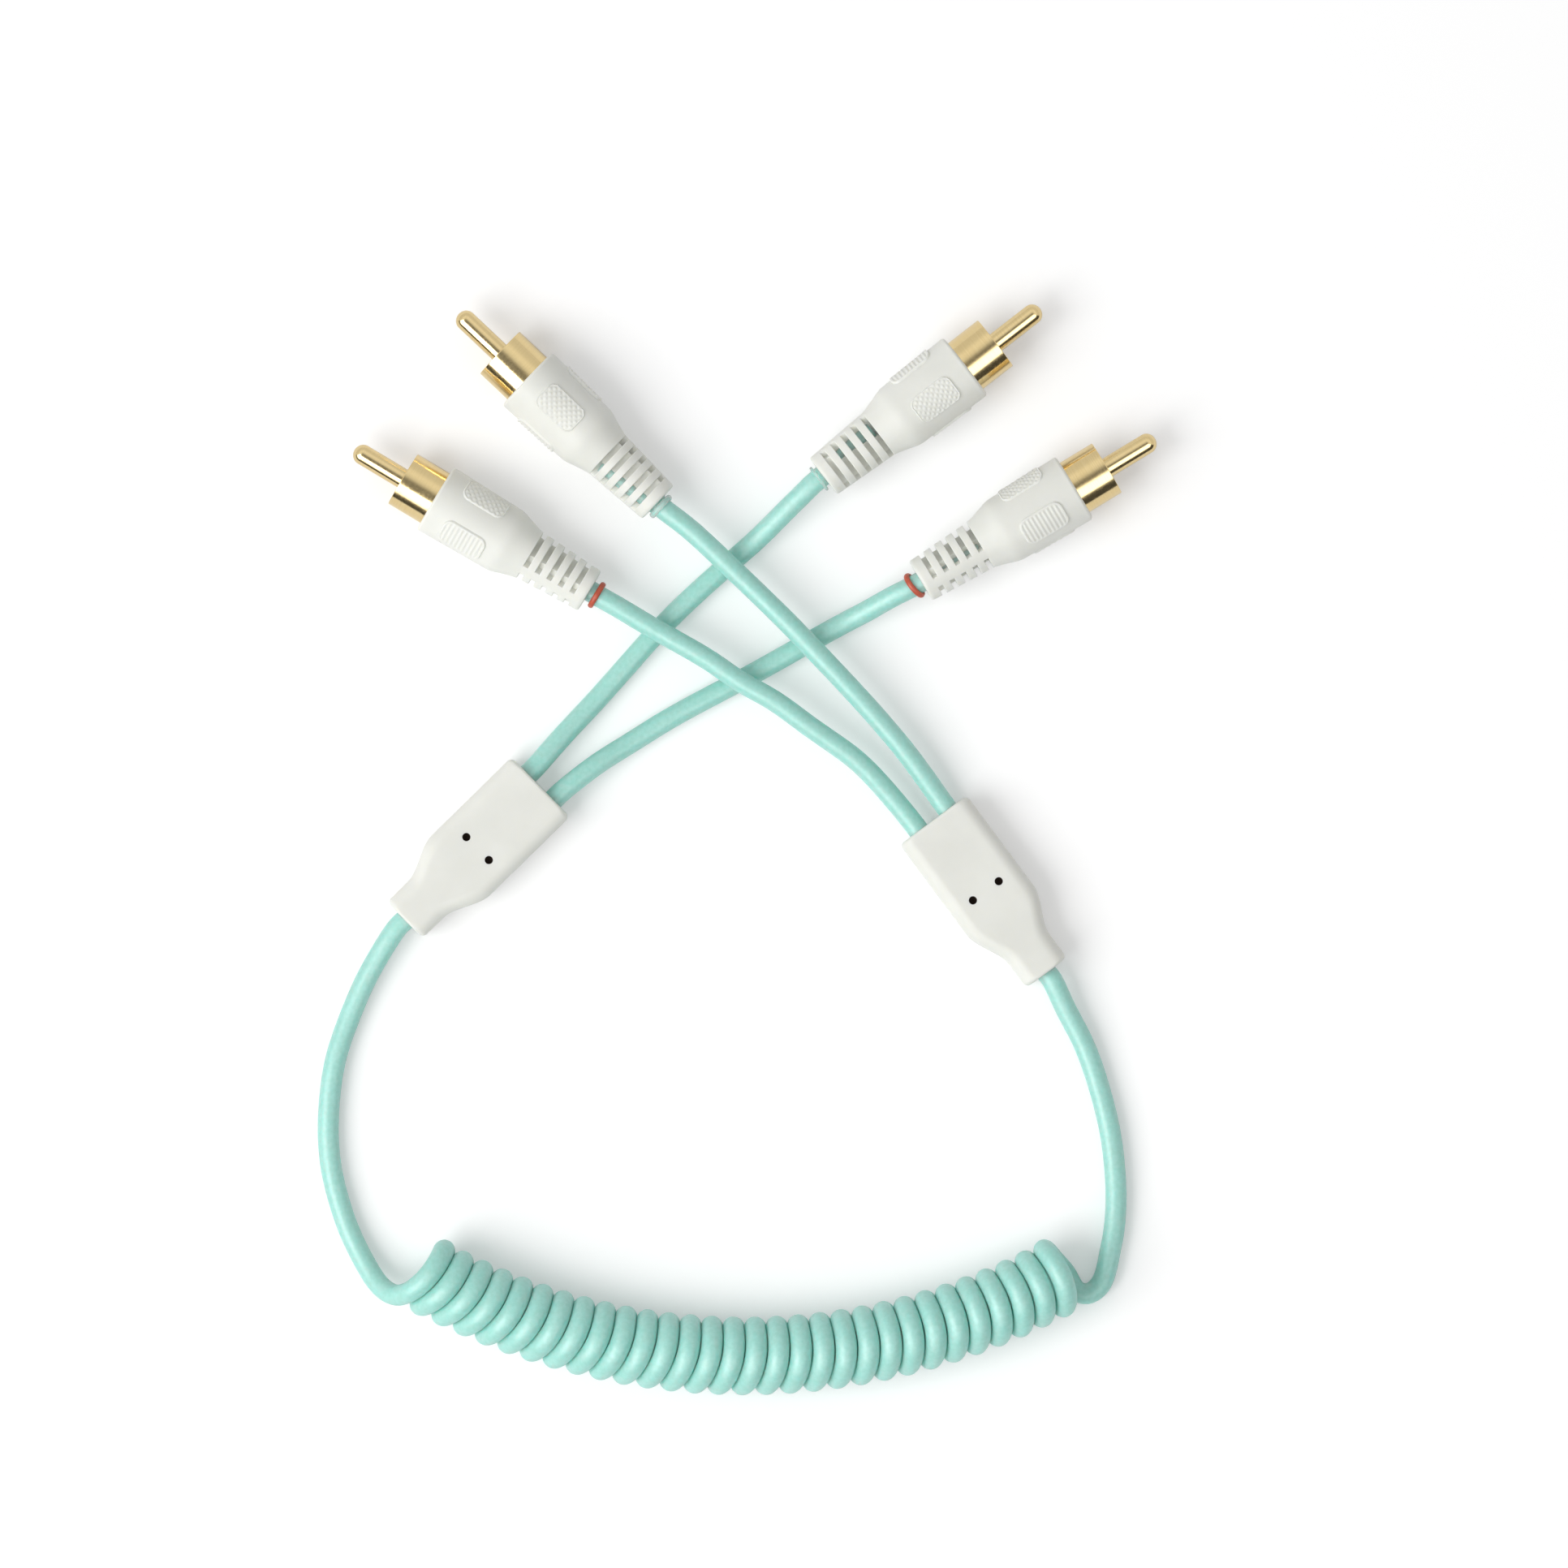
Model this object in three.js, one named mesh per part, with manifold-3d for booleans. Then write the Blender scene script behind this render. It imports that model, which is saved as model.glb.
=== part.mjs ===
// A stereo audio cable with four phono plugs: two plugs join in a splitter at each end of one
// coiled cord. It lies on a table as it was put down. Millimetres, +Z up, table at z = 0.

import * as THREE from "three";
import { mergeVertices } from "three/addons/utils/BufferGeometryUtils.js";
import Module from "manifold-3d";

const wasm = await Module();
wasm.setup();

// Clearances
const seat_gap = 0.3; // between pieces that sit in one another
const cord_gap = 0.25; // round a cord in the bore that holds it
const ring_gap = 0.2; // between a marker ring and its cord
const cord_end_gap = 0.3; // between a cord's end and what it meets
const cut_past = 1; // of a cut past the surface that it opens
const merge_distance = 1e-4; // between corners that are one

// Cord
const cord_diameter = 3.25;
const cord_sides = 8;
const table_lift = 0.03; // of a cord that lies on the table
const straight_lead = 1.6; // of a cord outside the plug, splitter or coil that holds it

// Coil: the cord wound on a bow that lies flat, its middle nearest the front edge
const coil_diameter = 12.2;
const coil_pitch = 3.56;
const coil_strands = 30;
const bow_radius = 103;
const bow_centre = [-1.7, -7.56];
const bow_start_angle = -119.36; // degrees, where the first strand crosses the bow
const left_stem_rise = 0.8; // where it meets the coil, as a share of the height of the coil's middle
const right_stem_swing = 0.7; // outward from the coil's middle, as a share of the winding's radius
const coil_sides = 18;
const coil_steps = 12;

// Plug, along its own axis: x = 0 where the cord leaves it, +x to the tip of the pin
const shell_length = 28;
const pin_diameter = 3.2;
const pin_nose_length = 1.5;
const pin_reach = 8.8; // past the rim of the barrel
const pin_depth = 6.4; // full width behind the shell's face
const solder_tail_diameter = 2;
const solder_tail_length = 2.4;
const barrel_diameter = 9;
const barrel_wall = 0.4;
const barrel_reach = 5.9; // past the shell's face
const barrel_depth = 1.2; // full width behind the shell's face
const barrel_floor = 0.5;
const collar_diameter = 6.2;
const collar_length = 6.3;
const collar_wall = 0.5;
const insulator_face = 0.8; // past the shell's face, inside the barrel
const insulator_foot = 0.6; // of the collar left bare behind it

// Plug shell: body, neck and slotted strain relief in one moulding
const body_front_diameter = 11.3;
const body_back_diameter = 10.76;
const body_length = 13; // from the face to where it begins to taper
const face_round = 0.5;
const taper_length = 4.2;
const taper_shape = [[0.28, 0.22], [0.65, 0.63]]; // shares of its length and of its step, from the neck
const neck_diameter = 8.2;
const relief_end_diameter = 7.1;
const relief_round = 0.35;
const slot_count = 5;
const slot_width = 0.88;
const slot_pitch = 2.05;
const bar_thickness = 1.7; // of the two bars that join the rings
const core_width = 4.9; // between the bars' roots
const core_wall = 0.2; // over the cord, on the two slotted sides
const bore_drift = 0.6; // of the cord from the axis at the last slot
const bore_margin = 0.5; // of the bore past the last slot

// Grip pads: two ribbed, two knurled, at right angles round the body
const pad_raise = 0.3;
const pad_root = 0.5; // of a pad inside the body
const pad_from_face = 3.3;
const pad_length = 7.35;
const pad_width = 4.7;
const pad_corner = 1.3;
const rib_count = 9;
const rib_depth = 0.22;
const rib_margin = 0.65; // plain edge at each end of a ribbed pad

// Marker ring round each leg of the cord
const ring_thickness = 0.5;
const ring_width = 0.88;

// Splitter, along its own axis: x = 0 at the wide end, where the two legs enter
const splitter_length = 29.6;
const splitter_width = 13;
const splitter_end_width = 7.9;
const splitter_height = 7;
const shoulder_start = 17.4;
const shoulder_length = 7.8;
const splitter_edge = 2.2; // rounding along its sides
const splitter_end_edge = 0.45; // rounding at its two ends, over its height
const splitter_corner = 0.9; // the same over its width
const leg_spacing = 5.6;
const socket_depth = 5;
const pin_hole_diameter = 1.28;
const pin_hole_depth = 1.8;
const pin_hole_spacing = 5;
const pin_hole_place = 13.7; // from the wide end

// How round things are
const shell_sides = 24;
const metal_sides = 20;
const inner_sides = 16;
const hole_sides = 10;
const shoulder_steps = 6;
const corner_steps = [0, 0.12, 0.5, 1]; // shares of the splitter's corner, from its end
const nose_turns = [0, 22, 44, 66]; // degrees, of the pin's nose
const ring_sides = 12;
const ring_section_sides = 6;

const cord_radius = cord_diameter / 2;
const bore_radius = cord_radius + cord_gap;
const core_height = 2 * (bore_radius + core_wall);
const winding_radius = (coil_diameter - cord_diameter) / 2;
const body_radius = body_front_diameter / 2;
const pad_radius = body_radius + pad_raise;
const degrees = Math.PI / 180;

// Where the plugs lie: the point where the cord leaves the shell, the way the pin points
// (heading), the turn about its own axis (roll), the marker ring's place and lean, and
// how much of each slot's core is open on the cord's side, at the first and the last slot
const plugs = [
  {
    exit: [-25.72, 8.5], heading: 149, roll: 229,
    ring: { colour: "red", stand: 1.4, lean: 0, swing: 3 },
    window: { from: 1.9, to: 1.7, slots: 5 },
  },
  {
    exit: [-15.06, 22.31], heading: 136.6, roll: 2,
    ring: { colour: "clear", stand: 0.75, lean: 0, swing: 2 },
    window: { from: 0.9, to: 0.45, slots: 5 },
  },
  {
    exit: [10.66, 26.32], heading: 37.8, roll: 14.5,
    ring: { colour: "clear", stand: 0.75, lean: 0, swing: -2 },
    window: { from: 0.35, to: 1, slots: 4 },
  },
  {
    exit: [25.83, 10.04], heading: 31.3, roll: 115.5,
    ring: { colour: "red", stand: 1.15, lean: 12, swing: 6 },
    window: { from: 1, to: 1.4, slots: 4 },
  },
];

// Where the splitters lie: the middle of the wide end, and the way the narrow end points
const splitters = {
  left: { wide_end: [-33.35, -22.01], heading: 224.4 },
  right: { wide_end: [27.78, -27.17], heading: -53.4 },
};

// The free run of each cord, as it lies: x, y, and its height above the table
// as a share of the way from lying (0) to crossing over another cord (1)
const leg_runs = [
  [[-21.5, 6.5, 1.1], [-15.1, 2.3, 1.04], [-7.1, -2.3, 1.04], [-2.4, -5.5, 1.04], [3, -8.6, 1.02],
    [8, -12.2, 0.95], [13, -15.7, 0.85], [17.9, -19.8, 0.73]],
  [[-10.5, 18.4, 1.2], [-4.2, 12.6, 1.1], [0.1, 8.5, 1.04], [5.2, 3.5, 1.04], [8.2, 0.4, 1.04],
    [15.3, -7.1, 0.95], [20.4, -12.8, 0.82], [25, -18.5, 0.7]],
  [[7.6, 23.6, 1], [5.1, 21.2, 0.62], [2.5, 18.7, 0.3], [0, 16.3, 0.08], [-4.2, 12.6, 0], [-10.1, 7.3, 0],
    [-15.1, 2.3, 0], [-19.4, -2.5, 0], [-25.3, -9.1, 0.03], [-30.4, -14.6, 0.3]],
  [[22.1, 7.9, 0.95], [19.6, 6.6, 0.6], [17.1, 5.2, 0.3], [14.4, 3.8, 0.08], [8.2, 0.4, 0], [3.6, -2.2, 0],
    [-2.4, -5.5, 0], [-9.6, -9.3, 0], [-15.2, -12.5, 0], [-20.3, -15.7, 0.06], [-24.8, -18.6, 0.3]],
];
const leg_homes = [
  { splitter: "right", side: -1 },
  { splitter: "right", side: 1 },
  { splitter: "left", side: -1 },
  { splitter: "left", side: 1 },
];
const stem_runs = {
  left: [[-58.8, -48.7, 0.3], [-61.4, -53.7, 0.12], [-63.5, -58.8, 0], [-65.2, -63.9, 0], [-66.1, -68.9, 0],
    [-66.5, -75.3, 0], [-66, -81.6, 0], [-64.8, -86.6, 0], [-63, -91.7, 0], [-60.4, -96.8, 0.2]],
  right: [[48.3, -56.3, 0.3], [50.9, -61.3, 0.12], [52.9, -66.4, 0], [54.4, -71.5, 0], [55.5, -76.5, 0],
    [56.1, -81.6, 0], [56.3, -86.6, 0], [55.9, -91.7, 0], [55, -96.2, 0]],
};
const leg_steps = 12;
const stem_steps = 10;

const lying_height = cord_radius + table_lift;
const crossing_rise = cord_diameter + cord_end_gap;

const vinyl = { color: "#e3e3dd", roughness: 0.55, metalness: 0 };
const gold = { color: "#d8b56a", roughness: 0.22, metalness: 1 };
const ivory = { color: "#efece0", roughness: 0.4, metalness: 0 };
const mint = { color: "#a5ded3", roughness: 0.5, metalness: 0 };
const red = { color: "#c4573a", roughness: 0.45, metalness: 0 };
const clear = { color: "#cfe6de", roughness: 0.25, metalness: 0 };

// Solids and meshes

// A closed geometry as a solid, its shared corners merged and its faces turned outward
function solidOf(geometry) {
  geometry.deleteAttribute("normal");
  geometry.deleteAttribute("uv");
  const merged = mergeVertices(geometry, merge_distance);
  const position = merged.attributes.position;
  const triangles = [];
  let volume = 0;
  const [a, b, c] = [new THREE.Vector3(), new THREE.Vector3(), new THREE.Vector3()];
  for (let i = 0; i < merged.index.count; i += 3) {
    const [p, q, r] = [0, 1, 2].map((k) => merged.index.getX(i + k));
    if (p === q || q === r || r === p) continue;
    triangles.push(p, q, r);
    a.fromBufferAttribute(position, p);
    b.fromBufferAttribute(position, q);
    c.fromBufferAttribute(position, r);
    volume += a.dot(b.cross(c));
  }
  if (volume < 0) triangles.reverse();
  return new wasm.Manifold(
    new wasm.Mesh({
      numProp: 3,
      vertProperties: new Float32Array(position.array),
      triVerts: new Uint32Array(triangles),
    }),
  );
}

function meshOf(name, solid, look) {
  const { vertProperties, triVerts } = solid.getMesh();
  const geometry = new THREE.BufferGeometry();
  geometry.setAttribute("position", new THREE.BufferAttribute(new Float32Array(vertProperties), 3));
  geometry.setIndex(new THREE.BufferAttribute(new Uint32Array(triVerts), 1));
  geometry.computeVertexNormals();
  const mesh = new THREE.Mesh(geometry, new THREE.MeshStandardMaterial(look));
  mesh.name = name;
  return mesh;
}

// A profile of [x, radius] points turned about the x axis
function turned(profile, sides) {
  const points = profile.map(([x, radius]) => new THREE.Vector2(radius, x));
  return solidOf(new THREE.LatheGeometry(points, sides).rotateZ(-Math.PI / 2));
}

function rod(from, to, radius, sides) {
  return turned([[from, 0], [from, radius], [to, radius], [to, 0]], sides);
}

// An outline of [y, z] points drawn out along x
function drawn(outline, from, to) {
  const shape = new THREE.Shape(outline.map(([y, z]) => new THREE.Vector2(y, z)));
  const geometry = new THREE.ExtrudeGeometry(shape, { depth: to - from, bevelEnabled: false, steps: 1 });
  const toX = new THREE.Matrix4().makeBasis(
    new THREE.Vector3(0, 1, 0), new THREE.Vector3(0, 0, 1), new THREE.Vector3(1, 0, 0),
  );
  return solidOf(geometry.applyMatrix4(toX).translate(from, 0, 0));
}

// Rings of points joined one to the next, closed by a flat face at each end
function lofted(rings) {
  const sides = rings[0].length;
  const corners = rings.flat();
  const triangles = [];
  for (let ring = 0; ring + 1 < rings.length; ring++) {
    for (let i = 0; i < sides; i++) {
      const [p, q] = [ring * sides + i, ring * sides + ((i + 1) % sides)];
      triangles.push(p, q, q + sides, p, q + sides, p + sides);
    }
  }
  const last = (rings.length - 1) * sides;
  for (let i = 1; i + 1 < sides; i++) {
    triangles.push(0, i + 1, i, last, last + i, last + i + 1);
  }
  const geometry = new THREE.BufferGeometry();
  geometry.setAttribute("position", new THREE.Float32BufferAttribute(corners.flat(), 3));
  geometry.setIndex(triangles);
  return solidOf(geometry);
}

// A rectangle with rounded corners, as [u, v] points at the given turns round each corner
function roundedOutline(half_u, half_v, corner, turns) {
  const quarters = [[1, 1, 0], [-1, 1, 90], [-1, -1, 180], [1, -1, 270]];
  return quarters.flatMap(([side_u, side_v, start]) =>
    turns.map((turn) => {
      const angle = (start + turn) * degrees;
      return [
        side_u * (half_u - corner) + corner * Math.cos(angle),
        side_v * (half_v - corner) + corner * Math.sin(angle),
      ];
    }),
  );
}

// A polygon of the given radius drawn along a route of points
function tube(points, radius, sides, steps) {
  const section = new THREE.Shape(
    Array.from({ length: sides }, (_, i) => {
      const angle = (2 * Math.PI * (i + 0.5)) / sides;
      return new THREE.Vector2(radius * Math.cos(angle), radius * Math.sin(angle));
    }),
  );
  const extrudePath = new THREE.CatmullRomCurve3(points, false, "centripetal");
  return solidOf(new THREE.ExtrudeGeometry(section, { steps, extrudePath, bevelEnabled: false }));
}

// Plug pieces, each in the plug's own frame

const first_slot = shell_length - body_length - taper_length; // its edge nearest the pin
const bore_depth = first_slot + bore_margin;

// The cord's line in the bore: it drifts off the axis towards +y
function boreOffset(x) {
  return (bore_drift * x) / bore_depth;
}

function shellProfile() {
  const taper_start = shell_length - body_length;
  const neck_step = (body_back_diameter - neck_diameter) / 2;
  const neck = neck_diameter / 2;
  return [
    [0, 0],
    [0, relief_end_diameter / 2 - relief_round],
    [relief_round, relief_end_diameter / 2],
    [first_slot, neck],
    ...taper_shape.map(([along, out]) => [first_slot + along * taper_length, neck + out * neck_step]),
    [taper_start, body_back_diameter / 2],
    [shell_length - face_round, body_radius],
    [shell_length, body_radius - face_round],
    [shell_length, 0],
  ];
}

// A slot leaves the core and the two bars; on the cord's side the core is open from `inner`
function slotOutline(side, inner) {
  const reach = body_radius;
  const bar = bar_thickness / 2;
  const core = core_height / 2;
  return [
    [-reach, bar], [-core_width / 2, bar], [-core_width / 2, core], [inner, core],
    [inner, bar], [reach, bar], [reach, reach], [-reach, reach],
  ].map(([y, z]) => [y, side * z]);
}

function slots(window) {
  const cuts = [];
  for (let i = 0; i < slot_count; i++) {
    const to = first_slot - i * slot_pitch;
    const open = i < window.slots;
    const share = i / (slot_count - 1);
    const inner = open ? window.from + (window.to - window.from) * share : core_width / 2;
    for (const side of [1, -1]) cuts.push(drawn(slotOutline(side, inner), to - slot_width, to));
  }
  return cuts;
}

// The rounded outline of a pad, standing out from the axis along the given angle
function padBlock(angle) {
  const outline = roundedOutline(pad_length / 2, pad_width / 2, pad_corner, [0, 45, 90]);
  const shape = new THREE.Shape(outline.map(([u, v]) => new THREE.Vector2(u, v)));
  const geometry = new THREE.ExtrudeGeometry(shape, { depth: 2 * body_radius, bevelEnabled: false });
  geometry.rotateX(angle * degrees - Math.PI / 2);
  return solidOf(geometry.translate(shell_length - pad_from_face - pad_length / 2, 0, 0));
}

// The sleeve that the pads are cut from, plain or with ribs along it
function padSleeve(ribbed) {
  const to = shell_length - pad_from_face;
  const from = to - pad_length;
  const outer = [[from - cut_past, pad_radius]];
  if (ribbed) {
    const pitch = (pad_length - 2 * rib_margin) / rib_count;
    for (let i = 0; i < rib_count; i++) {
      const start = from + rib_margin + i * pitch;
      outer.push([start, pad_radius - rib_depth], [start + pitch / 2, pad_radius]);
    }
    outer.push([to - rib_margin, pad_radius - rib_depth]);
  }
  outer.push([to + cut_past, pad_radius]);
  const root = body_back_diameter / 2 - pad_root;
  const foot = [from - cut_past, root];
  return turned([foot, ...outer, [to + cut_past, root], foot], shell_sides);
}

function shellSolid(window) {
  let shell = turned(shellProfile(), shell_sides);
  const ribbed = padSleeve(true);
  const plain = padSleeve(false);
  for (const angle of [0, 180]) shell = shell.add(ribbed.intersect(padBlock(angle)));
  for (const angle of [90, 270]) shell = shell.add(plain.intersect(padBlock(angle)));
  for (const cut of slots(window)) shell = shell.subtract(cut);

  const bore = lofted([[-cut_past, 0], [bore_depth, boreOffset(bore_depth)]].map(([x, y]) =>
    Array.from({ length: hole_sides }, (_, i) => {
      const a = (2 * Math.PI * i) / hole_sides;
      return [x, y + bore_radius * Math.cos(a), bore_radius * Math.sin(a)];
    }),
  ));

  const face = shell_length;
  const barrel_seat = barrel_diameter / 2 + seat_gap;
  const collar_seat = collar_diameter / 2 + seat_gap;
  const tail_seat = solder_tail_diameter / 2 + seat_gap;
  const cavity = turned([
    [face + cut_past, 0],
    [face + cut_past, barrel_seat],
    [face - barrel_depth - seat_gap, barrel_seat],
    [face - barrel_depth - seat_gap, collar_seat],
    [face - barrel_depth - collar_length - seat_gap, collar_seat],
    [face - barrel_depth - collar_length - seat_gap, tail_seat],
    [face - pin_depth - solder_tail_length - seat_gap, tail_seat],
    [face - pin_depth - solder_tail_length - seat_gap, 0],
  ], inner_sides);
  return shell.subtract(bore).subtract(cavity);
}

function barrelSolid() {
  const face = shell_length;
  const outer = barrel_diameter / 2;
  const collar = collar_diameter / 2;
  const back = face - barrel_depth;
  return turned([
    [face + barrel_reach, outer - barrel_wall],
    [face + barrel_reach, outer],
    [back, outer],
    [back, collar],
    [back - collar_length, collar],
    [back - collar_length, collar - collar_wall],
    [back + barrel_floor, collar - collar_wall],
    [back + barrel_floor, outer - barrel_wall],
    [face + barrel_reach, outer - barrel_wall],
  ], metal_sides);
}

function insulatorSolid() {
  const face = shell_length;
  const floor = face - barrel_depth + barrel_floor + seat_gap;
  const disc = barrel_diameter / 2 - barrel_wall - seat_gap;
  const sleeve = collar_diameter / 2 - collar_wall - seat_gap;
  const hole = pin_diameter / 2 + seat_gap / 2;
  const foot = face - barrel_depth - collar_length + insulator_foot;
  return turned([
    [face + insulator_face, hole],
    [face + insulator_face, disc],
    [floor, disc],
    [floor, sleeve],
    [foot, sleeve],
    [foot, hole],
    [face + insulator_face, hole],
  ], inner_sides);
}

function pinSolid() {
  const tip = shell_length + barrel_reach + pin_reach;
  const radius = pin_diameter / 2;
  const back = shell_length - pin_depth;
  const nose = nose_turns.map((a) => [
    tip - pin_nose_length * (1 - Math.sin(a * degrees)),
    radius * Math.cos(a * degrees),
  ]);
  const tail = solder_tail_diameter / 2;
  return turned([
    [back - solder_tail_length, 0],
    [back - solder_tail_length, tail],
    [back, tail],
    [back, radius],
    ...nose,
    [tip, 0],
  ], inner_sides);
}

function ringSolid() {
  const inner = cord_radius + ring_gap;
  const middle = inner + ring_thickness / 2;
  const outline = Array.from({ length: ring_section_sides + 1 }, (_, i) => {
    const a = (2 * Math.PI * (i % ring_section_sides)) / ring_section_sides;
    return [(ring_width / 2) * Math.sin(a), middle - (ring_thickness / 2) * Math.cos(a)];
  });
  return turned(outline, ring_sides);
}

// The height at which a plug lies: on a pad, or on the edges of two pads
function lyingRadius(roll) {
  const from_pad = Math.abs(roll - 90 * Math.round(roll / 90));
  const pad_reach = Math.asin(pad_width / 2 / pad_radius) / degrees;
  const past_pad = Math.max(0, from_pad - pad_reach);
  return Math.max(body_radius, pad_radius * Math.cos(past_pad * degrees));
}

// Splitter, in its own frame

// How far a quarter circle at its two ends draws the splitter in
function drawnIn(x, radius) {
  const to_end = Math.min(x, splitter_length - x);
  return radius * (1 - Math.sqrt(1 - Math.max(0, 1 - to_end / radius) ** 2));
}

function splitterRing(x) {
  const share = Math.min(Math.max((x - shoulder_start) / shoulder_length, 0), 1);
  const ease = share * share * (3 - 2 * share);
  const full_width = splitter_width + (splitter_end_width - splitter_width) * ease;
  const half_width = full_width / 2 - drawnIn(x, splitter_corner);
  const half_height = splitter_height / 2 - drawnIn(x, splitter_end_edge);
  return roundedOutline(half_width, half_height, splitter_edge, [0, 30, 60, 90]).map(([y, z]) => [x, y, z]);
}

function splitterSolid() {
  const end_steps = corner_steps.map((share) => share * splitter_corner);
  const stations = [...end_steps];
  for (let i = 0; i <= shoulder_steps; i++) {
    stations.push(shoulder_start + (shoulder_length * i) / shoulder_steps);
  }
  stations.push(...end_steps.reverse().map((step) => splitter_length - step));
  let body = lofted(stations.map(splitterRing));

  const socket = rod(-cut_past, socket_depth, bore_radius, hole_sides);
  const hole = rod(0, pin_hole_depth + cut_past, pin_hole_diameter / 2, hole_sides).rotate([0, -90, 0]);
  const hole_bottom = splitter_height / 2 - pin_hole_depth;
  for (const side of [-1, 1]) {
    body = body.subtract(socket.translate([0, (side * leg_spacing) / 2, 0]));
    body = body.subtract(hole.translate([pin_hole_place, (side * pin_hole_spacing) / 2, hole_bottom]));
  }
  return body.subtract(
    rod(splitter_length - socket_depth, splitter_length + cut_past, bore_radius, hole_sides),
  );
}

// Frames: a plug or a splitter lying on the table

function lieDown([x, y], height, heading, roll) {
  const frame = new THREE.Group();
  frame.position.set(x, y, height);
  frame.rotation.set(roll * degrees, 0, heading * degrees, "ZYX");
  frame.updateMatrix();
  return frame;
}

function plugFrame(plug) {
  return lieDown(plug.exit, lyingRadius(plug.roll), plug.heading, plug.roll);
}

function splitterFrame(name) {
  const { wide_end, heading } = splitters[name];
  return lieDown(wide_end, splitter_height / 2, heading, 0);
}

function inFrame(frame, x, y, z) {
  return new THREE.Vector3(x, y, z).applyMatrix4(frame.matrix);
}

// A free run with its heights: 0 is a cord lying on the table, 1 a cord crossing over one
function freeRun(run) {
  return run.map(([x, y, rise]) => new THREE.Vector3(x, y, lying_height + rise * crossing_rise));
}

// The straight part of a cord where a plug or a splitter holds it, and just outside
function inPlug(frame) {
  const inside = bore_depth - cord_end_gap;
  return [inside, inside / 2, 0, -straight_lead].map((x) => inFrame(frame, x, boreOffset(Math.max(x, 0)), 0));
}

function inSplitterSocket(name, side) {
  const frame = splitterFrame(name);
  const y = (side * leg_spacing) / 2;
  return [-straight_lead, 0, socket_depth - cord_end_gap].map((x) => inFrame(frame, x, y, 0));
}

function inStemSocket(name) {
  const frame = splitterFrame(name);
  return [socket_depth - cord_end_gap, 0, -straight_lead].map((depth) =>
    inFrame(frame, splitter_length - depth, 0, 0),
  );
}

// The coil's own line: a bow, and the direction along it, at a distance from the first strand
const coil_reach = cord_radius + coil_pitch / 4; // of the coil past the middle of its last strands
const coil_length = (coil_strands - 1) * coil_pitch;

function onBow(distance, outward = 0) {
  const angle = bow_start_angle * degrees + distance / bow_radius;
  const radius = bow_radius + outward;
  return new THREE.Vector3(
    bow_centre[0] + radius * Math.cos(angle),
    bow_centre[1] + radius * Math.sin(angle),
    coil_diameter / 2,
  );
}

// A stem meets the coil's end face square on. The left one rises to the side of the first
// turn, which goes over the top; the right one comes from under the last turn.
const stem_meets = {
  left: {
    face: -coil_reach, side: -1,
    outward: winding_radius, height: left_stem_rise * (coil_diameter / 2),
  },
  right: {
    face: coil_length + coil_reach, side: 1,
    outward: right_stem_swing * winding_radius, height: lying_height,
  },
};

function stemEnd(name) {
  const { face, side, outward, height } = stem_meets[name];
  return [straight_lead + cord_end_gap, cord_end_gap].map((gap) =>
    onBow(face + side * gap, outward).setZ(height),
  );
}

// The cable

const cable = new THREE.Group();

plugs.forEach((plug, i) => {
  const number = i + 1;
  const frame = plugFrame(plug);
  frame.add(
    meshOf(`plug_${number}_shell`, shellSolid(plug.window), vinyl),
    meshOf(`plug_${number}_barrel`, barrelSolid(), gold),
    meshOf(`plug_${number}_insulator`, insulatorSolid(), ivory),
    meshOf(`plug_${number}_pin`, pinSolid(), gold),
  );
  cable.add(frame);

  const ring_frame = lieDown(plug.exit, lyingRadius(plug.roll), plug.heading, 0);
  const ring = meshOf(`marker_ring_${number}`, ringSolid(), plug.ring.colour === "red" ? red : clear);
  ring.position.x = -plug.ring.stand;
  ring.rotation.set(0, -plug.ring.lean * degrees, plug.ring.swing * degrees);
  ring_frame.add(ring);
  cable.add(ring_frame);

  const home = leg_homes[i];
  const route = [...inPlug(frame), ...freeRun(leg_runs[i]), ...inSplitterSocket(home.splitter, home.side)];
  cable.add(meshOf(`leg_cord_${number}`, tube(route, cord_radius, cord_sides, leg_steps), mint));
});

for (const name of ["left", "right"]) {
  const frame = splitterFrame(name);
  frame.add(meshOf(`splitter_${name}`, splitterSolid(), vinyl));
  cable.add(frame);
  const route = [...inStemSocket(name), ...freeRun(stem_runs[name]), ...stemEnd(name)];
  cable.add(meshOf(`stem_cord_${name}`, tube(route, cord_radius, cord_sides, stem_steps), mint));
}

const coil_points = Array.from({ length: coil_steps + 1 }, (_, i) =>
  onBow(-coil_reach + ((coil_length + 2 * coil_reach) * i) / coil_steps),
);
cable.add(meshOf("coil_cord", tube(coil_points, coil_diameter / 2, coil_sides, coil_steps), mint));

export default cable;
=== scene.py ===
"""Looks of a stereo audio cable: a coiled mint cord between two splitters, and four phono plugs.

Every new piece is worked out in millimetres as a numpy grid of points in its own axes, laid
down on the table by a turn and a move, and scaled to metres when its mesh is made.
"""

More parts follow.
